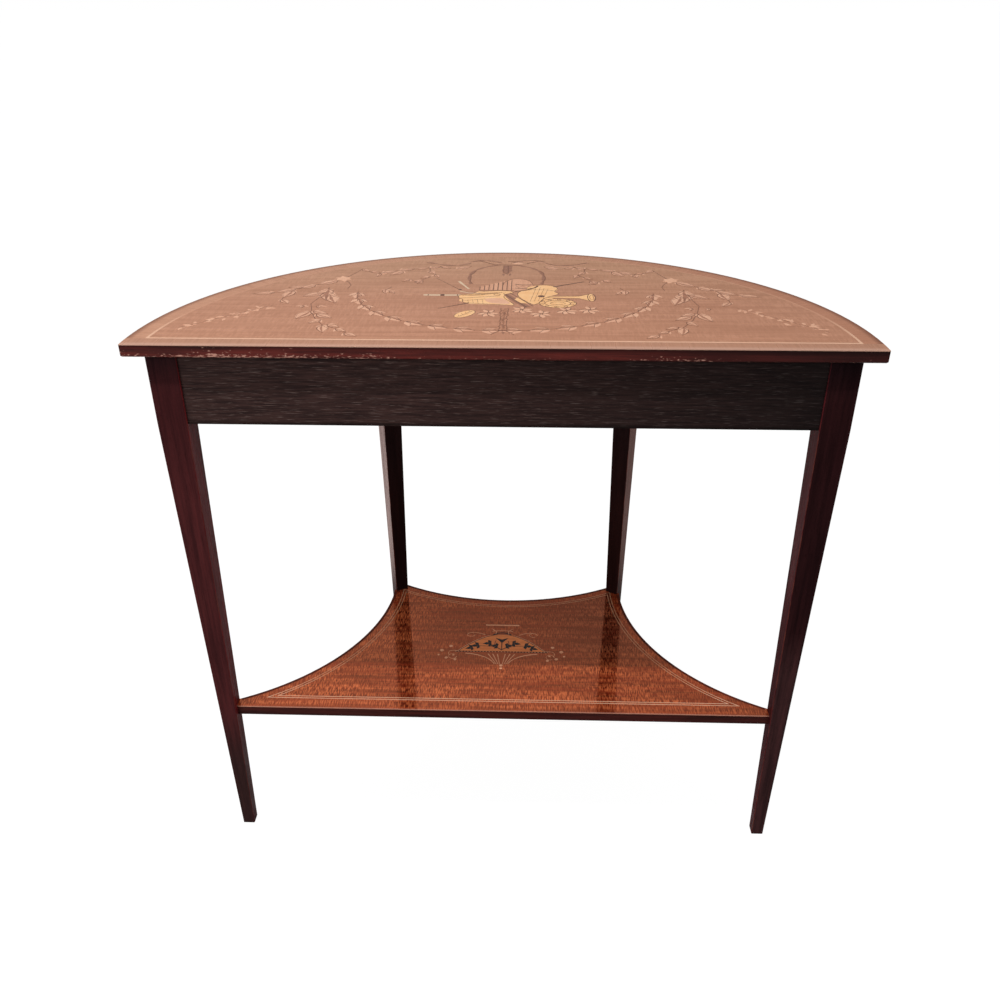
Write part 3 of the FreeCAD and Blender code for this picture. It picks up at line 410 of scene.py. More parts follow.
urn_gloss = (0.06, 0.12)
urn_polish = polished_timber(
    "urn_satinwood", "x", (0.72, 0.2, 0.06), (1.0, 0.33, 0.1), (1.0, 0.42, 0.16), streak=420.0, ripple=300.0,
    ripple_mix=0.3, gloss=urn_gloss, **deep_polish)
dressed(urn_polish, "urn_bowl")
lid_polish = polished_timber(
    "urn_lid_veneer", "y", (0.2, 0.032, 0.011), (0.36, 0.066, 0.022), (0.45, 0.1, 0.034), streak=420.0,
    ripple=300.0, ripple_mix=0.3, gloss=urn_gloss, **deep_polish)
dressed(lid_polish, "urn_lid")
urn_dark = polished_timber("urn_ebonised", "y", (0.008, 0.004, 0.004), (0.024, 0.01, 0.008), streak=500.0,
                           gloss=urn_gloss, sheen=0.3)
urn_pale = polished_timber("urn_sycamore", "x", (0.78, 0.38, 0.22), (1.0, 0.56, 0.34), streak=600.0, pore_mix=0.2,
                           gloss=urn_gloss, **deep_polish)
dressed(urn_pale, "urn_foot")
urn_x = -3.5
shelf_face = 0.221 + thread_lift
bowl_half = 64.5
bowl_rise = 43.5
bowl_foot = 163.0
bead_line = 161.5
bead_pitch = 4.6


def bowl_curve(first, last, steps=24):
    """Points along the bowl's arched side, which runs out to sharp points; -1 and 1 are its two ends."""
    shares = [first + (last - first) * step / steps for step in range(steps + 1)]
    return [(urn_x + bowl_half * share, bowl_foot + bowl_rise * (1 - abs(share) ** 1.8)) for share in shares]


def by_urn(side, *points):
    """Points given from the urn's middle, to the left or the right of it."""
    return [(urn_x + side * x, y) for x, y in points]


pale_lines = [thread([(x, y + 1.5) for x, y in bowl_curve(1.04 * side, 0.3 * side, 16)], 0.9) for side in (-1, 1)]
dark_lines = [thread(bowl_curve(-1, 1, 32), 1.0),
              thread(arc_line(urn_x, bowl_foot, 30, 47.5, 62, 118, 10), 2.4),
              thread(by_urn(1, (-70, bead_line), (70, bead_line)), 1.8)]
pale_dots = [dot(urn_x - 69 + bead_pitch * step, bead_line, 0.9, 6) for step in range(31)]
bowl_ends = []
trefoils = []
for side in (-1, 1):
    outer = arc_line(urn_x, bowl_foot, side * (bowl_half + 0.6), bowl_rise + 0.6, 0, 72, 16)
    bowl_ends.append(outer + bowl_curve(side * 0.3, side, 16))
    pale_lines += [thread(bent(*by_urn(side, (26, 205), (46, 216), (54, 206))), 1.0, 0.7),
                   thread(arc_line(urn_x + side * 48, 205, 6, 5, 0, 300 * side, 12), 0.9, 0.6),
                   thread(bent(*by_urn(side, (66, 163), (84, 166), (78, 151))), 1.0, 0.6),
                   thread(arc_line(urn_x + side * 73, 149, 6, 6, 0, 300 * side, 12), 0.8, 0.5),
                   thread(bent(*by_urn(side, (54, 157), (20, 153), (10, 132))), 2.0, 1.3)]
    pale_lines += [thread(bent(*by_urn(side, (flute, 156), (0.7 * flute, 146), (0.35 * flute, 131))), 1.5, 0.9)
                   for flute in (6, 13, 20)]
    pale_lines.append(thread(by_urn(side, (10, 207), (9, 214), (16, 221)), 1.0))
    pale_dots += [dot(urn_x + side * x, y, radius) for x, y, radius in (
        (77, 174, 2.8), (90, 163, 3.0), (72, 152, 1.8), (82, 145, 2.6), (69, 141, 2.4), (94, 152, 1.8))]
    for x, y, heading, length in ((44, 172, -20, 12), (34.5, 178, -15, 13.5), (16, 183, -5, 13.5), (6, 176, 10, 12)):
        for turn, reach, width in ((0, 1.0, 0.5), (62, 0.72, 0.44), (-62, 0.72, 0.44)):
            tip, wide = reach * length, width * length / 2
            leaf = placed([(0, 0), (0.5 * tip, wide), (tip, 0), (0.5 * tip, -wide)], x, y, heading + turn)
            trefoils.append(by_urn(side, *leaf))
    dark_lines += [thread(bent(*by_urn(side, (0, 167), (15, 176), (9, 190))), 1.6, 0.8),
                   thread(bent(*by_urn(side, (4, 170), (24, 180), (46, 175))), 0.8)]
trefoils.append(by_urn(1, (-10, 197), (0, 184), (10, 197), (0, 193)))
dark_lines.append(thread(by_urn(1, (0, 188), (0, 165)), 1.6, 1.0))
pale_lines.append(thread(arc_line(urn_x, 214, 16, 2.2, 0, 180, 10), 1.0))
pale_dots += [dot(urn_x, 128, 2.6), dot(urn_x, 121, 2.2)]
inlay_piece("shelf_field_by_urn", bowl_ends, shelf_face, shelf_polish)
inlay_piece("urn_pale_threads", pale_lines, shelf_face + thread_lift, urn_pale)
inlay_piece("urn_pale_dots", pale_dots, shelf_face + 2 * thread_lift, urn_pale)
inlay_piece("urn_dark_threads", dark_lines, shelf_face + thread_lift, urn_dark)
inlay_piece("urn_bowl_face", [bowl_curve(-1, 1, 32)], shelf_face + 0.5 * thread_lift, urn_polish)
bowl_leaves = inlay_piece("urn_trefoils", trefoils, shelf_face + 1.5 * thread_lift, urn_dark)
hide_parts("urn_leaves")

# The shelf's rim: the eased arris along the three hollow sides, where the board's dark edge comes up round
# the veneer, in a dark red that is partly the board's own and partly painted shade of the rounded arris.
rim_polish = polished_timber("shelf_rim_polish", "x", (0.06, 0.011, 0.005), (0.16, 0.03, 0.014), streak=240.0,
                             gloss=(0.24, 0.36), sheen=0.06)
rim_wide = 4.0
rim_inset = rim_wide / 2 + 0.2
front_reach = 346.3 + rim_inset
side_reach = 326.3 + rim_inset
side_rim = arc_line(511, 334.4, side_reach, side_reach, 181.8, 243.8, 40)
rims = [thread(arc_line(0, 648.4, front_reach, front_reach, 241.5, 298.5, 40), rim_wide)]
rims += [thread([(side * x, y) for x, y in side_rim], rim_wide) for side in (-1, 1)]
inlay_piece("shelf_rim", rims, shelf_face, rim_polish)

# The top board: a half-round mahogany board screwed down to the rails, with its lower arris eased.
# Its dark polished edge is chipped along that arris, where pale wood shows, and painted light and shade
# make it lighter to the left and darker to the right.
board_under = 0.7355
chip_tone = (0.5, 0.25, 0.19)


def chipped_and_shaded(tree, tone):
    """Paints the edge lighter to the left and darker to the right as painted light, darkens it along its upper
    arris, and chips it, most low down and to the left.
    """
    place = made(tree, "TexCoord").outputs["Object"]
    x, _, z = made(tree, "SeparateXYZ", {0: place}).outputs
    pulled = made(tree, "VectorMath", {0: place, 1: (0.4, 1.0, 1.0)}, operation="MULTIPLY").outputs[0]
    level = made(tree, "TexNoise", {"Vector": pulled, "Scale": 520.0, "Detail": 3.0, "Roughness": 0.6}).outputs[0]
    near_arris = fades(tree, z, board_under + 0.009, board_under + 0.0008)
    runs = made(tree, "TexNoise", {"Vector": place, "Scale": 11.0}).outputs[0]
    for socket, weight in ((near_arris, 0.22), (runs, 0.55), (x, -0.22)):
        level = reckoned(tree, "MULTIPLY_ADD", socket, weight, level)
    tone = blended(tree, fades(tree, x, 0.05, 0.36), toned(tree, tone, (1.2, 1.2, 1.2)),
                   toned(tree, tone, (0.5, 0.6, 0.66)))
    tone = shaded(tree, tone, z, 0.742, 0.7485, (0.3, 0.28, 0.3))
    return blended(tree, fades(tree, level, 1.05, 1.13), tone, chip_tone)


edge_polish = polished_timber("top_edge_polish", "x", (0.04, 0.007, 0.006), (0.13, 0.021, 0.016), streak=260.0,
                              gloss=(0.26, 0.42), sheen=0.15, wear_and_light=chipped_and_shaded)
dressed(edge_polish, "top_board")

# The top's veneers: a field of rippled veneer with its grain along the straight edge, a crossband along
# both edges, and a pale stringing line between them. Painted light makes the field paler and greyer towards
# the curve, and painted shade darkens the curved band to the right and along its rim.
top_radius = 0.42
top_gloss = (0.26, 0.36)
veneer_look = {"gloss": top_gloss, "sheen": 0.35}
band_look = {"streak": 240.0, "ripple": 160.0, "ripple_mix": 0.25, "pore_mix": 0.3, "bump": 0.0001, **veneer_look}
band_tones = ((0.45, 0.21, 0.122), (0.58, 0.285, 0.172), (0.62, 0.32, 0.195))
field_light = (0.52, 0.24, 0.14)
worn_edge = (0.56, 0.315, 0.225)


def lit_towards_curve(tree, tone):
    """Makes the field paler and greyer towards the curve, as painted light."""
    return shaded(tree, tone, place_on(tree, 1), -0.04, 0.14, (1.04, 1.15, 1.14))


def rubbed_band(tree, tone):
    """Rubs the band pale along the straight edge."""
    return blended(tree, fades(tree, place_on(tree, 1), -0.2, -0.2085), toned(tree, tone, (0.86, 0.86, 0.88)),
                   worn_edge)


def rim_and_right_shade(tree, tone):
    """Paints shade on the curved band to the right and along its rim."""
    tone = shaded(tree, tone, place_on(tree, 0), 0.05, 0.3, (0.88, 0.79, 0.76))
    reach = made(tree, "SeparateXYZ", {0: along_grain(tree, "radius")}).outputs[0]
    return shaded(tree, tone, reach, top_radius - 0.009, top_radius - 0.002, (0.5, 0.42, 0.38))


def browned(tree, tone):
    """Browns the line along the curve."""
    return blended(tree, fades(tree, place_on(tree, 1), -0.195, -0.09, high=0.85), tone, field_light)


field_polish = polished_timber(
    "top_field_polish", "x", (0.38, 0.165, 0.092), field_light, (0.62, 0.3, 0.185), streak=120.0, ripple=430.0,
    pore=800.0, ripple_mix=0.5, pore_mix=0.2, bump=0.0001, wear_and_light=lit_towards_curve, **veneer_look)
dressed(field_polish, "top_field_veneer")
back_band_polish = polished_timber("top_back_band_polish", "y", *band_tones, wear_and_light=rubbed_band, **band_look)
dressed(back_band_polish, "top_crossband_back")
curve_band_polish = polished_timber("top_curve_band_polish", "radius", *band_tones, wear_and_light=rim_and_right_shade, **band_look)
dressed(curve_band_polish, "top_crossband_curve")
top_line_polish = polished_timber("top_line_polish", "x", (0.7, 0.4, 0.26), (0.86, 0.54, 0.37), streak=500.0,
                                  pore=2200.0, pore_mix=0.2, wear_and_light=browned, **veneer_look)
dressed(top_line_polish, "top_stringing")

# The trophy of music: horn, tambourine, flute, lyre and lute sawn from boxwood, pan pipes and drum from
# tinted sycamore, all shaded in hot sand and outlined with threads of dark wood.
box_polish = polished_timber("trophy_boxwood", "x", (0.82, 0.42, 0.17), (1.0, 0.6, 0.29), (1.0, 0.68, 0.38),
                             streak=300.0, ripple=120.0, ripple_mix=0.4, pore_mix=0.15, gloss=top_gloss)
dressed(box_polish, "trophy_horn", "trophy_tambourine", "trophy_lyre", "trophy_lute")
pale_box = polished_timber("flute_boxwood", "x", (0.6, 0.42, 0.27), (0.78, 0.58, 0.4), streak=400.0, pore_mix=0.1,
                           gloss=top_gloss)
dressed(pale_box, "trophy_flute")
pink_polish = polished_timber("pipes_sycamore", "y", (0.56, 0.26, 0.15), (0.74, 0.38, 0.23), (0.78, 0.42, 0.26),
                              streak=300.0, ripple=150.0, ripple_mix=0.4, pore_mix=0.15, gloss=top_gloss)
dressed(pink_polish, "trophy_pipes", "trophy_drum")
flower_polish = polished_timber("flower_sycamore", "x", (0.66, 0.33, 0.2), (0.84, 0.47, 0.3), (0.88, 0.52, 0.34),
                                streak=400.0, ripple=160.0, ripple_mix=0.4, pore_mix=0.15, gloss=top_gloss)
dressed(flower_polish, "trophy_flowers")
outline_dark = polished_timber("trophy_outline", "x", (0.09, 0.035, 0.02), (0.17, 0.07, 0.04), streak=500.0,
                               gloss=top_gloss)
stem_dark = polished_timber("stem_dark", "x", (0.15, 0.058, 0.032), (0.25, 0.1, 0.056), streak=400.0, **veneer_look)
ribbon_polish = polished_timber("ribbon_stained", "x", (0.25, 0.105, 0.06), (0.36, 0.155, 0.09), (0.4, 0.18, 0.11),
                                streak=350.0, ripple=200.0, ripple_mix=0.3, pore_mix=0.2, gloss=top_gloss)
dressed(ribbon_polish, "trophy_strap", "top_ribbon")
top_face = 0.75 + thread_lift


def smooth(points, steps=4):
    """A closed curve through points."""
    count = len(points)
    curve = []
    for index in range(count):
        p, q, r, t = (points[(index + shift) % count] for shift in (-1, 0, 1, 2))
        for step in range(steps):
            u = step / steps
            curve.append(tuple(0.5 * (2 * b + (c - a) * u + (2 * a - 5 * b + 4 * c - d) * u ** 2
                                      + (3 * b - a - 3 * c + d) * u ** 3) for a, b, c, d in zip(p, q, r, t)))
    return curve


def ring(points, width):
    """A closed thread along points."""
    return thread(list(points) + [points[0]], width)


lute_body = smooth(((-52, 181), (-50, 169), (-26, 163), (2, 159), (12, 158), (9, 169), (2, 183), (-1, 194), (2, 206),
                    (10, 211), (6, 219), (-9, 221), (-26, 217), (-34, 218), (-42, 206), (-57, 200), (-57, 188)))
lyre_body = smooth(((41, 246), (53, 248), (63, 242), (67, 231), (63, 219), (68, 208), (58, 197), (49, 186), (43, 169),
                    (36, 161), (25, 178), (18, 194), (16, 208), (20, 219), (31, 228), (39, 237)))
pink_cheek = smooth(((-24, 184), (-18, 168), (3, 163), (7, 168), (0, 182), (-6, 188)))
inlay_piece("lute_and_lyre", [lute_body, lyre_body], top_face, box_polish)
inlay_piece("lute_belly", [pink_cheek], top_face + thread_lift, flower_polish)
tambourine = (66, 167)
horn_mouth = (109, 193)
outlines = [ring(lute_body, 0.8), ring(lyre_body, 0.8),
            thread(((54, 197), (93, 198.5), (106, 208)), 0.8), thread(((54, 191), (93, 188.5), (106, 178)), 0.8)]
for middle, along, across, steps, width in ((horn_mouth, 5, 17, 24, 0.9), (horn_mouth, 2.4, 11, 16, 0.5),
                                            (tambourine, 23, 19, 28, 0.9), (tambourine, 16, 12, 24, 0.9)):
    outlines.append(thread(arc_line(*middle, along, across, 0, 360, steps), width))
for x, y in arc_line(*tambourine, 19.5, 15.5, 12, 336, 9):
    outlines.append(thread(arc_line(x, y, 2.4, 1.9, 0, 360, 8), 0.6))
outlines += [thread(arc_line(*tambourine, 9, 6, 20, 200, 10), 0.8),
             thread(bent((58, 164), (66, 158), (76, 166)), 0.8)]
for number in range(4):
    outlines.append(thread(((32 + 5 * number, 172 + 2 * number), (40 + 5 * number, 240 - 3 * number)), 0.4))
outlines.append(thread(bent((24, 222), (42, 232), (62, 222), 8), 0.8))
for number in range(6):
    outlines.append(thread(bent((-54 + 4 * number, 199 + 2 * number), (-40 + 5 * number, 196 + 3 * number),
                                (-24 + 5 * number, 204 + 2 * number), 6), 0.5))
outlines += [thread(bent((-56, 187), (-34, 190), (-6, 198), 8), 0.7),
             thread(bent((-52, 176), (-36, 180), (-24, 184), 8), 0.6),
             thread(arc_line(-10, 204, 4, 3.6, 0, 360, 14), 0.8)]
for number in range(4):
    outlines.append(thread(((-44 + 6 * number, 167 - number), (-46 + 6 * number, 180 + number)), 0.35))
outlines += [thread(((-79, 196.6), (-79, 203.4)), 5.0), thread(((-60, 197), (-60, 203)), 1.0),
             thread(((-97, 197), (-97, 203)), 1.0)]
for number in range(8):
    x = -32.9 + 5.8 * number
    outlines.append(thread(((x, 222.5), (x, 239 + 4.6 * number)), 1.0))
outlines += [thread(((-33, 222.5), (11, 222.5)), 1.2), thread(arc_line(16, 250, 19, 28, 0, 180, 18), 0.7),
             thread(bent((12, 252), (22, 246), (34, 250), 8), 1.8),
             thread(bent((12, 234), (22, 229), (34, 233), 8), 1.4),
             thread(((13, 246), (17, 234), (22, 245), (27, 234), (32, 246)), 0.6)]
petals = []
for x, y, lean in ((-18, 126, 0), (22, 140, 25), (46, 124, -20), (76, 137, 10), (104, 141, -10)):
    for heading, reach in ((-155, 14), (-110, 15), (-65, 16), (-20, 13), (60, 12), (115, 13)):
        middle = placed([(0.55 * reach, 0)], x, y, heading + lean)[0]
        oval = arc_line(*middle, 0.45 * reach, 0.22 * reach, 0, 340, 17, heading + lean)
        petals.append(oval)
        outlines.append(thread(oval[8:], 0.8))
lyre_hole = [arc_line(46, 197, 4.6, 4.2, 0, 330, 11)]
inlay_piece("trophy_petals", petals, top_face, flower_polish)
inlay_piece("trophy_outlines", outlines, top_face + 2 * thread_lift, outline_dark)
inlay_piece("lyre_hole", lyre_hole, top_face + 2 * thread_lift, outline_dark)
dark_rods = [thread(((62, 240), (103, 266)), 3.0, 2.0), thread(((-44, 166), (-80, 142)), 2.4, 1.2),
             thread(((-60, 227), (-94, 280)), 1.0, 0.6), dot(-58, 225, 2.4),
             thread(bent((12, 218), (34, 224), (42, 244), 8), 2.6),
             thread(((-2, 208), (28, 150)), 1.2), thread(((6, 212), (36, 154)), 1.2)]
inlay_piece("trophy_bow_and_sticks", dark_rods, top_face + thread_lift, outline_dark)
pale_rods = [thread(((-62, 264), (-47, 228)), 3.6, 2.2), thread(((-58, 218), (-46, 210), (-30, 208)), 2.6, 1.6)]
inlay_piece("trophy_drumsticks", pale_rods, top_face, pale_box)
yellow_leaf = arc_line(-46, 121, 17, 9, 0, 345, 20, 55)
inlay_piece("trophy_yellow_flower", [yellow_leaf], top_face, box_polish)
yellow_veins = [ring(yellow_leaf, 0.6), thread(((-54, 109), (-37, 133)), 0.6)]
for step in range(4):
    x, y = -52 + 4 * step, 112 + 5.6 * step
    yellow_veins += [thread(((x, y), (x + 6, y + 1)), 0.4), thread(((x, y), (x - 2, y + 6)), 0.4)]
inlay_piece("yellow_flower_veins", yellow_veins, top_face + thread_lift, outline_dark)

# The ribbon: a twisted ribbon of stained sycamore that ties a bow over the trophy and hangs below it.
# Each fold is a long shaded piece, and a thin dark thread marks one edge.
fold_steps = 24
fold_pitch = 24.0
fold_half, fold_swell = 0.7, 1.8
fold_paths = (((8, 350), (62, 330), (46, 252)), ((6, 358), (30, 384), (50, 366)), ((52, 360), (70, 330), (112, 362)))
ribbon_folds = []
ribbon_edges = []
ribbon_lights = []
for path in [[(side * x, y) for x, y in points] for side in (-1, 1) for points in fold_paths]:
    line = bent(*path, steps=fold_steps)
    twist = math.pi * math.dist(path[0], path[2]) / fold_pitch
    halves = [fold_half + fold_swell * abs(math.sin(twist * step / fold_steps)) for step in range(fold_steps + 1)]
    left, right = edges_of(line, halves)
    ribbon_folds.append(left + right[::-1])
    hangs = path[2][1] < 300
    ribbon_edges.append(thread(left[11 if hangs else 0:], 1.1))
    if not hangs:
        ribbon_lights.append(thread([(x, y - 2.0) for x, y in line], 1.6, 1.0))
ribbon_folds.append([(-5, 346), (7, 346), (6, 318), (1, 300), (-5, 310)])
ribbon_edges += [thread(((-26, 358), (-18, 351), (2, 349), (22, 345)), 2.6, 1.4), thread(((0, 369), (14, 367)), 2.2),
                 thread(((27, 358), (44, 371)), 2.4, 1.2), thread(((-40, 372), (-26, 359)), 2.4, 1.2),
                 thread(((-5, 346), (-5, 310), (1, 300)), 1.0), thread(((1, 345), (2, 306)), 1.4)]
tail_steps = 26
tail_half = 4.0
weave = random.Random(3)
for side in (-1, 1):
    ribbon_edges.append(thread([(1 + side * tail_half + 2.4 * (weave.random() - 0.5), 146 - 90 * step / tail_steps)
                                for step in range(tail_steps + 1)], 0.9))
ribbon_edges.append(thread([(1 + (-1) ** step * tail_half * weave.random(), 144 - 86 * step / tail_steps)
                            for step in range(tail_steps + 1)], 0.7))
for side in (-1, 1):
    ribbon_edges.append(thread(bent((1, 60), (1 + side * 10, 52), (1 + side * 13, 44), 6), 1.6, 0.8))
knot = [arc_line(14, 357, 8, 3.4, 0, 340, 17)]
inlay_piece("ribbon_folds", ribbon_folds, top_face, ribbon_polish)
inlay_piece("ribbon_edges", ribbon_edges, top_face + 2 * thread_lift, stem_dark)
inlay_piece("ribbon_knot", knot, top_face + 2 * thread_lift, flower_polish)

# The garland: husks of sycamore threaded on a half oval under the trophy, each with two small side leaves
# and one half scorched darker in hot sand.
husk_polish = polished_timber("husk_sycamore", "x", (0.6, 0.3, 0.185), (0.8, 0.44, 0.285), (0.84, 0.49, 0.32),
                              streak=300.0, ripple=140.0, ripple_mix=0.4, pore_mix=0.15, gloss=top_gloss)
dressed(husk_polish, "top_garland", "top_left_spray", "top_right_spray", "top_left_branch", "top_right_branch")
scorched = polished_timber("scorched_sycamore", "x", (0.32, 0.13, 0.072), (0.46, 0.2, 0.115), streak=300.0,
                           pore_mix=0.2, gloss=top_gloss)
inlay_piece("ribbon_highlights", ribbon_lights, top_face + thread_lift, husk_polish)


def leaf_shape(x, y, heading, length, width):
    """A pointed leaf, fullest before its middle."""
    half = width / 2
    side = [(0, 0), (0.1 * length, 0.45 * half), (0.2 * length, 0.75 * half), (0.33 * length, 0.95 * half),
            (0.45 * length, half), (0.6 * length, 0.86 * half), (0.75 * length, 0.6 * half),
            (0.9 * length, 0.24 * half), (length, 0)]
    return placed(side + [(along, -across) for along, across in reversed(side[1:-1])], x, y, heading)


def half_leaf(x, y, heading, length, width, side):
    """The half of a leaf to one side of its middle vein."""
    half = side * width / 2
    return placed([(0, 0), (0.2 * length, 0.75 * half), (0.45 * length, half), (0.75 * length, 0.6 * half),
                   (length, 0)], x, y, heading)


def half_husk(x, y, heading, length, width, side):
    """The half of a husk to one side of the thread."""
    half = side * width / 2
    return placed([(0, 0), (0.45 * length, half), (length, 0.6 * half), (0.8 * length, 0)], x, y, heading)


garland_wide = 188.0
garland_foot = 58.0
garland_drop = 216.0 - garland_foot
per_side = 9
thread_steps = 36
husk_length, husk_full = 25.0, 12.0
side_length, side_full = 19.0, 7.6
garland_thread = []
garland_leaves = []
garland_shade = []


def on_garland(side, turn):
    """A point on the half oval; the turn runs from 0 at its end to a quarter at its foot."""
    return side * garland_wide * math.cos(turn), garland_foot + garland_drop * (1 - math.sin(turn))


for side in (-1, 1):
    garland_thread.append(thread([on_garland(side, math.radians(90 * step / thread_steps))
                                  for step in range(thread_steps + 1)], 0.5))
    for number in range(per_side):
        turn = math.radians(90 * (number + 0.3) / per_side)
        x, y = on_garland(side, turn)
        heading = math.degrees(math.atan2(-garland_drop * math.cos(turn), -side * garland_wide * math.sin(turn)))
        garland_leaves.append(leaf_shape(x, y, heading, husk_length, husk_full))
        garland_shade.append(half_husk(x, y, heading, husk_length, 0.6 * husk_full, -side))
        edge = [(0, 0), (0.45 * husk_length, -side * husk_full / 2), (husk_length, 0)]
        garland_thread.append(thread(placed(edge, x, y, heading), 1.0))
        for lean in (-36, 36):
            garland_leaves.append(leaf_shape(x, y, heading + lean, side_length, side_full))
            edge = [(1, 0), (8, -3.6 * side), (side_length, 0)]
            garland_thread.append(thread(placed(edge, x, y, heading + lean), 0.9, 0.6))
inlay_piece("garland_side_leaves", garland_leaves, top_face, husk_polish)
inlay_piece("garland_scorched_halves", garland_shade, top_face + thread_lift, scorched)
inlay_piece("garland_thread", garland_thread, top_face + 2 * thread_lift, stem_dark)

# The sprays and branches: leafy stems at both sides and under the curve, mirrored about the middle.
# Leaves are sycamore, each with one scorched half; stems, veins and edges are let-in threads.
leaf_strokes = (
    ((223, 265), (246, 244)), ((248, 242), (268, 224)), ((270, 222), (293, 207)), ((295, 206), (320, 200)),
    ((262, 230), (282, 231)), ((273, 215), (278, 184)), ((230, 208), (255, 190)), ((228, 224), (231, 184)),
    ((225, 212), (221, 172)), ((220, 196), (209, 162)), ((233, 127), (245, 97)), ((229, 128), (210, 117)),
    ((223, 116), (202, 101)), ((247, 151), (247, 140)), ((227, 151), (225, 140)), ((278, 176), (266, 158)),
    ((208, 73), (203, 47)), ((203, 76), (187, 67)), ((190, 60), (177, 51)), ((178, 46), (162, 34)),
    ((214, 94), (226, 80)), ((199, 324), (188, 311)), ((185, 309), (172, 304)), ((172, 301), (174, 286)),
    ((169, 304), (150, 316)), ((142, 313), (157, 293)), ((147, 318), (127, 326)), ((124, 324), (108, 333)),
    ((106, 330), (92, 340)), ((91, 336), (78, 330)), ((69, 327), (50, 342)), ((105, 315), (97, 299)),
    ((96, 297), (90, 283)), ((103, 286), (115, 278)), ((112, 269), (117, 252)), ((120, 264), (108, 251)),
    ((128, 272), (138, 262)), ((153, 224), (152, 205)), ((148, 216), (140, 206)))
stem_lines = (
    ((217, 272), (223, 265), (247, 243), (269, 223), (294, 206.5), (322, 200)),
    ((217, 272), (207, 256), (202, 242), (204, 226)), ((228, 230), (232, 190), (238, 158), (231, 127)),
    ((231, 127), (222, 100), (208, 74), (190, 61), (163, 34)), ((217, 272), (207, 298), (199, 324)),
    ((199, 324), (187, 310), (171, 303), (148, 317), (126, 325), (107, 331), (92, 338), (70, 328), (50, 342)),
    ((107, 331), (105, 315), (96, 298), (103, 286), (112, 269), (120, 264), (128, 272)),
    ((148, 236), (152, 224), (150, 212)), ((273, 216), (279, 196), (278, 176)))
trail_path = ((282, 152), (322, 112), (370, 60))
leaf_fullness = 0.496
twig_chance = 0.6
bud_length, bud_full, bud_pitch = 10.0, 4.5, 14.0


def stations(path, pitch):
    """Places and headings along a bent stem, about a pitch apart."""
    start, bend, end = path
    count = max(1, round((math.dist(start, bend) + math.dist(bend, end)) / pitch))
    places = []
    for step in range(count):
        t = (step + 0.5) / count
        x, y = [(1 - t) ** 2 * a + 2 * t * (1 - t) * b + t ** 2 * c for a, b, c in zip(start, bend, end)]
        dx, dy = [(1 - t) * (b - a) + t * (c - b) for a, b, c in zip(start, bend, end)]
        places.append((x, y, math.degrees(math.atan2(dy, dx))))
    return places


twigs = random.Random(7)
for label, side in (("left", -1), ("right", 1)):
    stems = [thread([(side * x, y) for x, y in line], 1.2, 0.8) for line in stem_lines]
    veins = []
    shade = []
    leaves = []
    for foot, tip in leaf_strokes:
        (x, y), (tx, ty) = [(side * along, across) for along, across in (foot, tip)]
        length = math.dist((x, y), (tx, ty))
        heading = math.degrees(math.atan2(ty - y, tx - x))
        wide = leaf_fullness * length
        under = -1 if tx > x else 1
        leaves.append(leaf_shape(x, y, heading, length, wide))
        shade.append(half_leaf(x, y, heading, length, 0.45 * wide, under))
        edge = [(0, 0), (0.2 * length, 0.4 * wide * under), (0.45 * length, 0.5 * wide * under),
                (0.75 * length, 0.3 * wide * under), (length, 0)]
        veins.append(thread(placed(edge, x, y, heading), 1.2, 0.8))
        edge = [(0, 0), (0.45 * length, -0.5 * wide * under), (length, 0)]
        veins.append(thread(placed(edge, x, y, heading), 0.6, 0.4))
        for lean in (-58, 58):
            if twigs.random() < twig_chance:
                leaves.append(leaf_shape(x, y, heading + lean, 7.0 + 5.0 * twigs.random(), 3.4))
    path = [(side * x, y) for x, y in trail_path]
    stems.append(thread(bent(*path, steps=16), 0.7, 0.5))
    for x, y, heading in stations(path, bud_pitch):
        shade.append(half_leaf(x, y, heading, bud_length, bud_full, side))
        for lean in (-64, 64, 150):
            leaves.append(leaf_shape(x + 16 * (twigs.random() - 0.5), y + 20 * (twigs.random() - 0.5),
                                     heading + lean * twigs.random(), 7.0 + 5.0 * twigs.random(), 4.0))
    bow = []
    for turn, reach in ((20, 12), (75, 13), (140, 11), (200, 12), (255, 15), (315, 12)):
        heading = turn if side > 0 else 180 - turn
        bow.append(leaf_shape(side * 217, 274, heading, reach, 8.0))
    inlay_piece(f"{label}_spray_stems", stems, top_face, stem_dark)
    inlay_piece(f"{label}_spray_leaves", leaves, top_face + thread_lift, husk_polish)
    inlay_piece(f"{label}_spray_bow", bow, top_face + 1.5 * thread_lift, flower_polish)
    inlay_piece(f"{label}_spray_scorched_halves", shade, top_face + 2 * thread_lift, scorched)
    inlay_piece(f"{label}_spray_veins", veins, top_face + 2.5 * thread_lift, stem_dark)

# The studio: a plain pale floor, a long strip light above and a little before the straight edge, a weak one
# over the curve and a broad soft light on the camera's side. The pale room is dimmer in reflections than to
# the eye, and two cards, seen only in the polish, stand beside the curve.
floor_mesh = bpy.data.meshes.new("studio_floor")
floor_reach = 40.0
floor_mesh.from_pydata([(-floor_reach, -floor_reach, 0.0), (floor_reach, -floor_reach, 0.0),
                        (floor_reach, floor_reach, 0.0), (-floor_reach, floor_reach, 0.0)], [], [(0, 1, 2, 3)])
floor = bpy.data.objects.new("studio_floor", floor_mesh)
bpy.context.scene.collection.objects.link(floor)
floor_paint = bpy.data.materials.new("floor_paint")
floor_paint.use_nodes = True
floor_tree = floor_paint.node_tree
floor_shader = floor_tree.nodes["Principled BSDF"]
floor_shader.inputs["Base Color"].default_value = (0.6, 0.6, 0.6, 1.0)
floor_shader.inputs["Roughness"].default_value = 0.9
floor_glow = made(floor_tree, "Emission", {"Strength": 1.2})
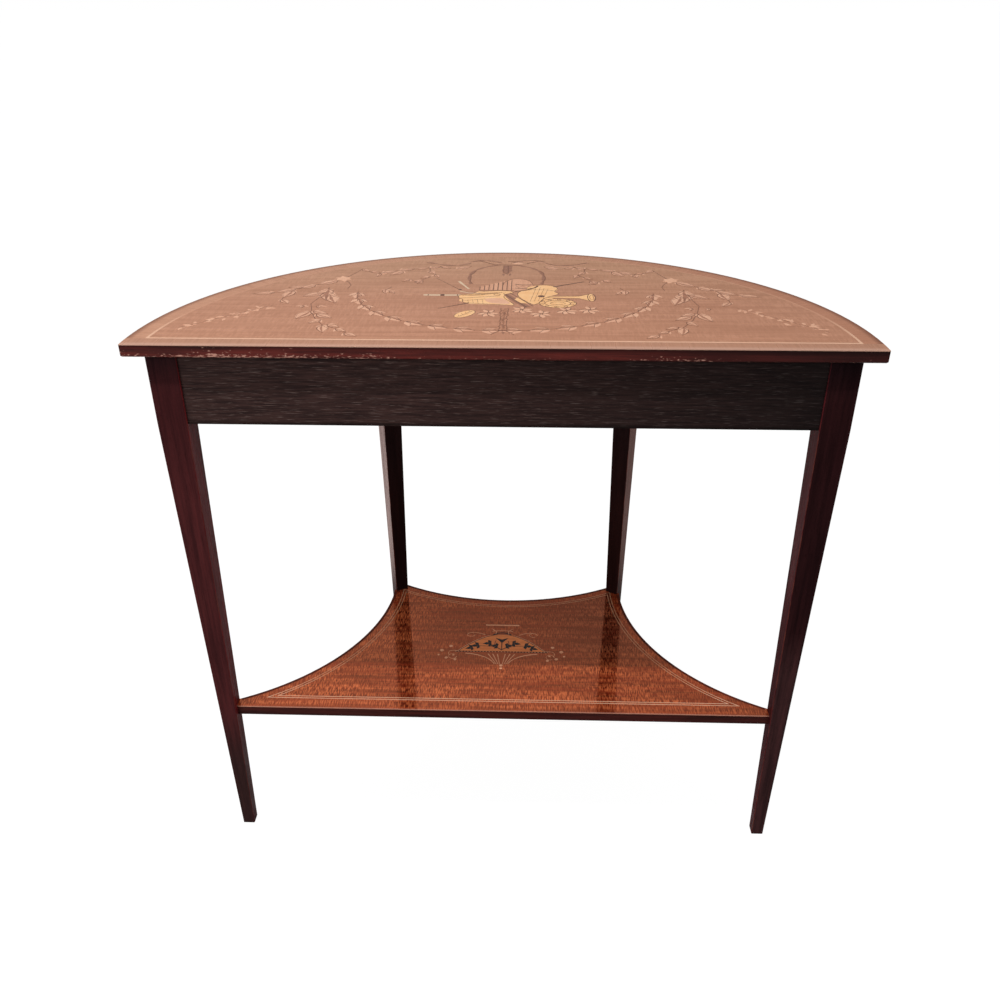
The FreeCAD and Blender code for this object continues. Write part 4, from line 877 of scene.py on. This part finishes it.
to_eye = reckoned(floor_tree, "MULTIPLY", made(floor_tree, "LightPath").outputs["Is Camera Ray"], 0.8)
floor_mix = made(floor_tree, "MixShader", {0: to_eye, 1: floor_shader.outputs[0], 2: floor_glow.outputs[0]})
floor_tree.links.new(floor_mix.outputs[0], floor_tree.nodes["Material Output"].inputs["Surface"])
floor_mesh.materials.append(floor_paint)

room = bpy.data.worlds.new("studio_room")
bpy.context.scene.world = room
room.use_nodes = True
room_tree = room.node_tree
room_light = room_tree.nodes["Background"]
room_light.inputs["Color"].default_value = (1.0, 1.0, 1.0, 1.0)
rays = made(room_tree, "LightPath").outputs
room_x, _, room_z = made(room_tree, "SeparateXYZ", {0: made(room_tree, "TexCoord").outputs["Generated"]}).outputs
gleam = reckoned(room_tree, "MULTIPLY", fades(room_tree, room_z, 0.52, 0.66, 0.24, 0.55),
                 fades(room_tree, room_x, -0.12, 0.12, 1.15, 0.8))
mirrored = fades(room_tree, rays["Is Glossy Ray"], low=0.36, high=gleam)
room_tree.links.new(fades(room_tree, rays["Is Camera Ray"], low=mirrored), room_light.inputs["Strength"])


def soft_light(name, place, target, wide, deep, power, tint=(1.0, 1.0, 1.0), card=False):
    """A soft light; a card is only seen in the polish, as a pale floor beside the table would be."""
    lamp = bpy.data.lights.new(name, "AREA")
    lamp.shape = "RECTANGLE"
    lamp.size = wide
    lamp.size_y = deep
    lamp.energy = power
    lamp.color = tint
    holder = bpy.data.objects.new(name, lamp)
    bpy.context.scene.collection.objects.link(holder)
    holder.location = place
    holder.rotation_euler = (Vector(target) - Vector(place)).to_track_quat("-Z", "Y").to_euler()
    holder.visible_camera = False
    holder.visible_diffuse = not card


soft_light("strip_light", (-0.55, -0.72, 2.6), (-0.55, -0.2, 0.5), 2.2, 0.04, 32.5)
soft_light("overhead_light", (-0.1, 0.3, 1.95), (-0.1, 0.25, 0.75), 0.9, 0.3, 1.9)
soft_light("left_light", (-1.5, -1.8, 1.3), (-0.2, -0.1, 0.45), 0.9, 1.1, 14.0)
soft_light("left_card", (-0.95, 0.85, 0.01), (-0.95, 0.85, 1.0), 1.0, 1.0, 9.4, (1.0, 0.72, 0.66), True)
soft_light("right_card", (0.95, 0.85, 0.01), (0.95, 0.85, 1.0), 1.0, 1.0, 3.2, (1.0, 0.5, 0.4), True)

sight = bpy.data.cameras.new("view_camera")
sight.sensor_width = 36.0
sight.lens = 34.993
sight.shift_x = 0.0022
sight.shift_y = 0.0586
camera = bpy.data.objects.new("view_camera", sight)
bpy.context.scene.collection.objects.link(camera)
yaw, pitch, roll = (math.radians(angle) for angle in (-1.9534, -30.6996, -0.1782))
ahead = Vector((math.sin(yaw) * math.cos(pitch), math.cos(yaw) * math.cos(pitch), math.sin(pitch)))
level = Vector((math.cos(yaw), -math.sin(yaw), 0.0))
upright = level.cross(ahead)
right = level * math.cos(roll) + upright * math.sin(roll)
up = upright * math.cos(roll) - level * math.sin(roll)
stand = Matrix.Identity(4)
for row in range(3):
    stand[row][0], stand[row][1], stand[row][2] = right[row], up[row], -ahead[row]
stand.translation = Vector((0.03174, -1.23062, 1.09798))
camera.matrix_world = stand
bpy.context.scene.camera = camera
bpy.context.scene.view_settings.view_transform = "Standard"

bpy.context.view_layer.update()
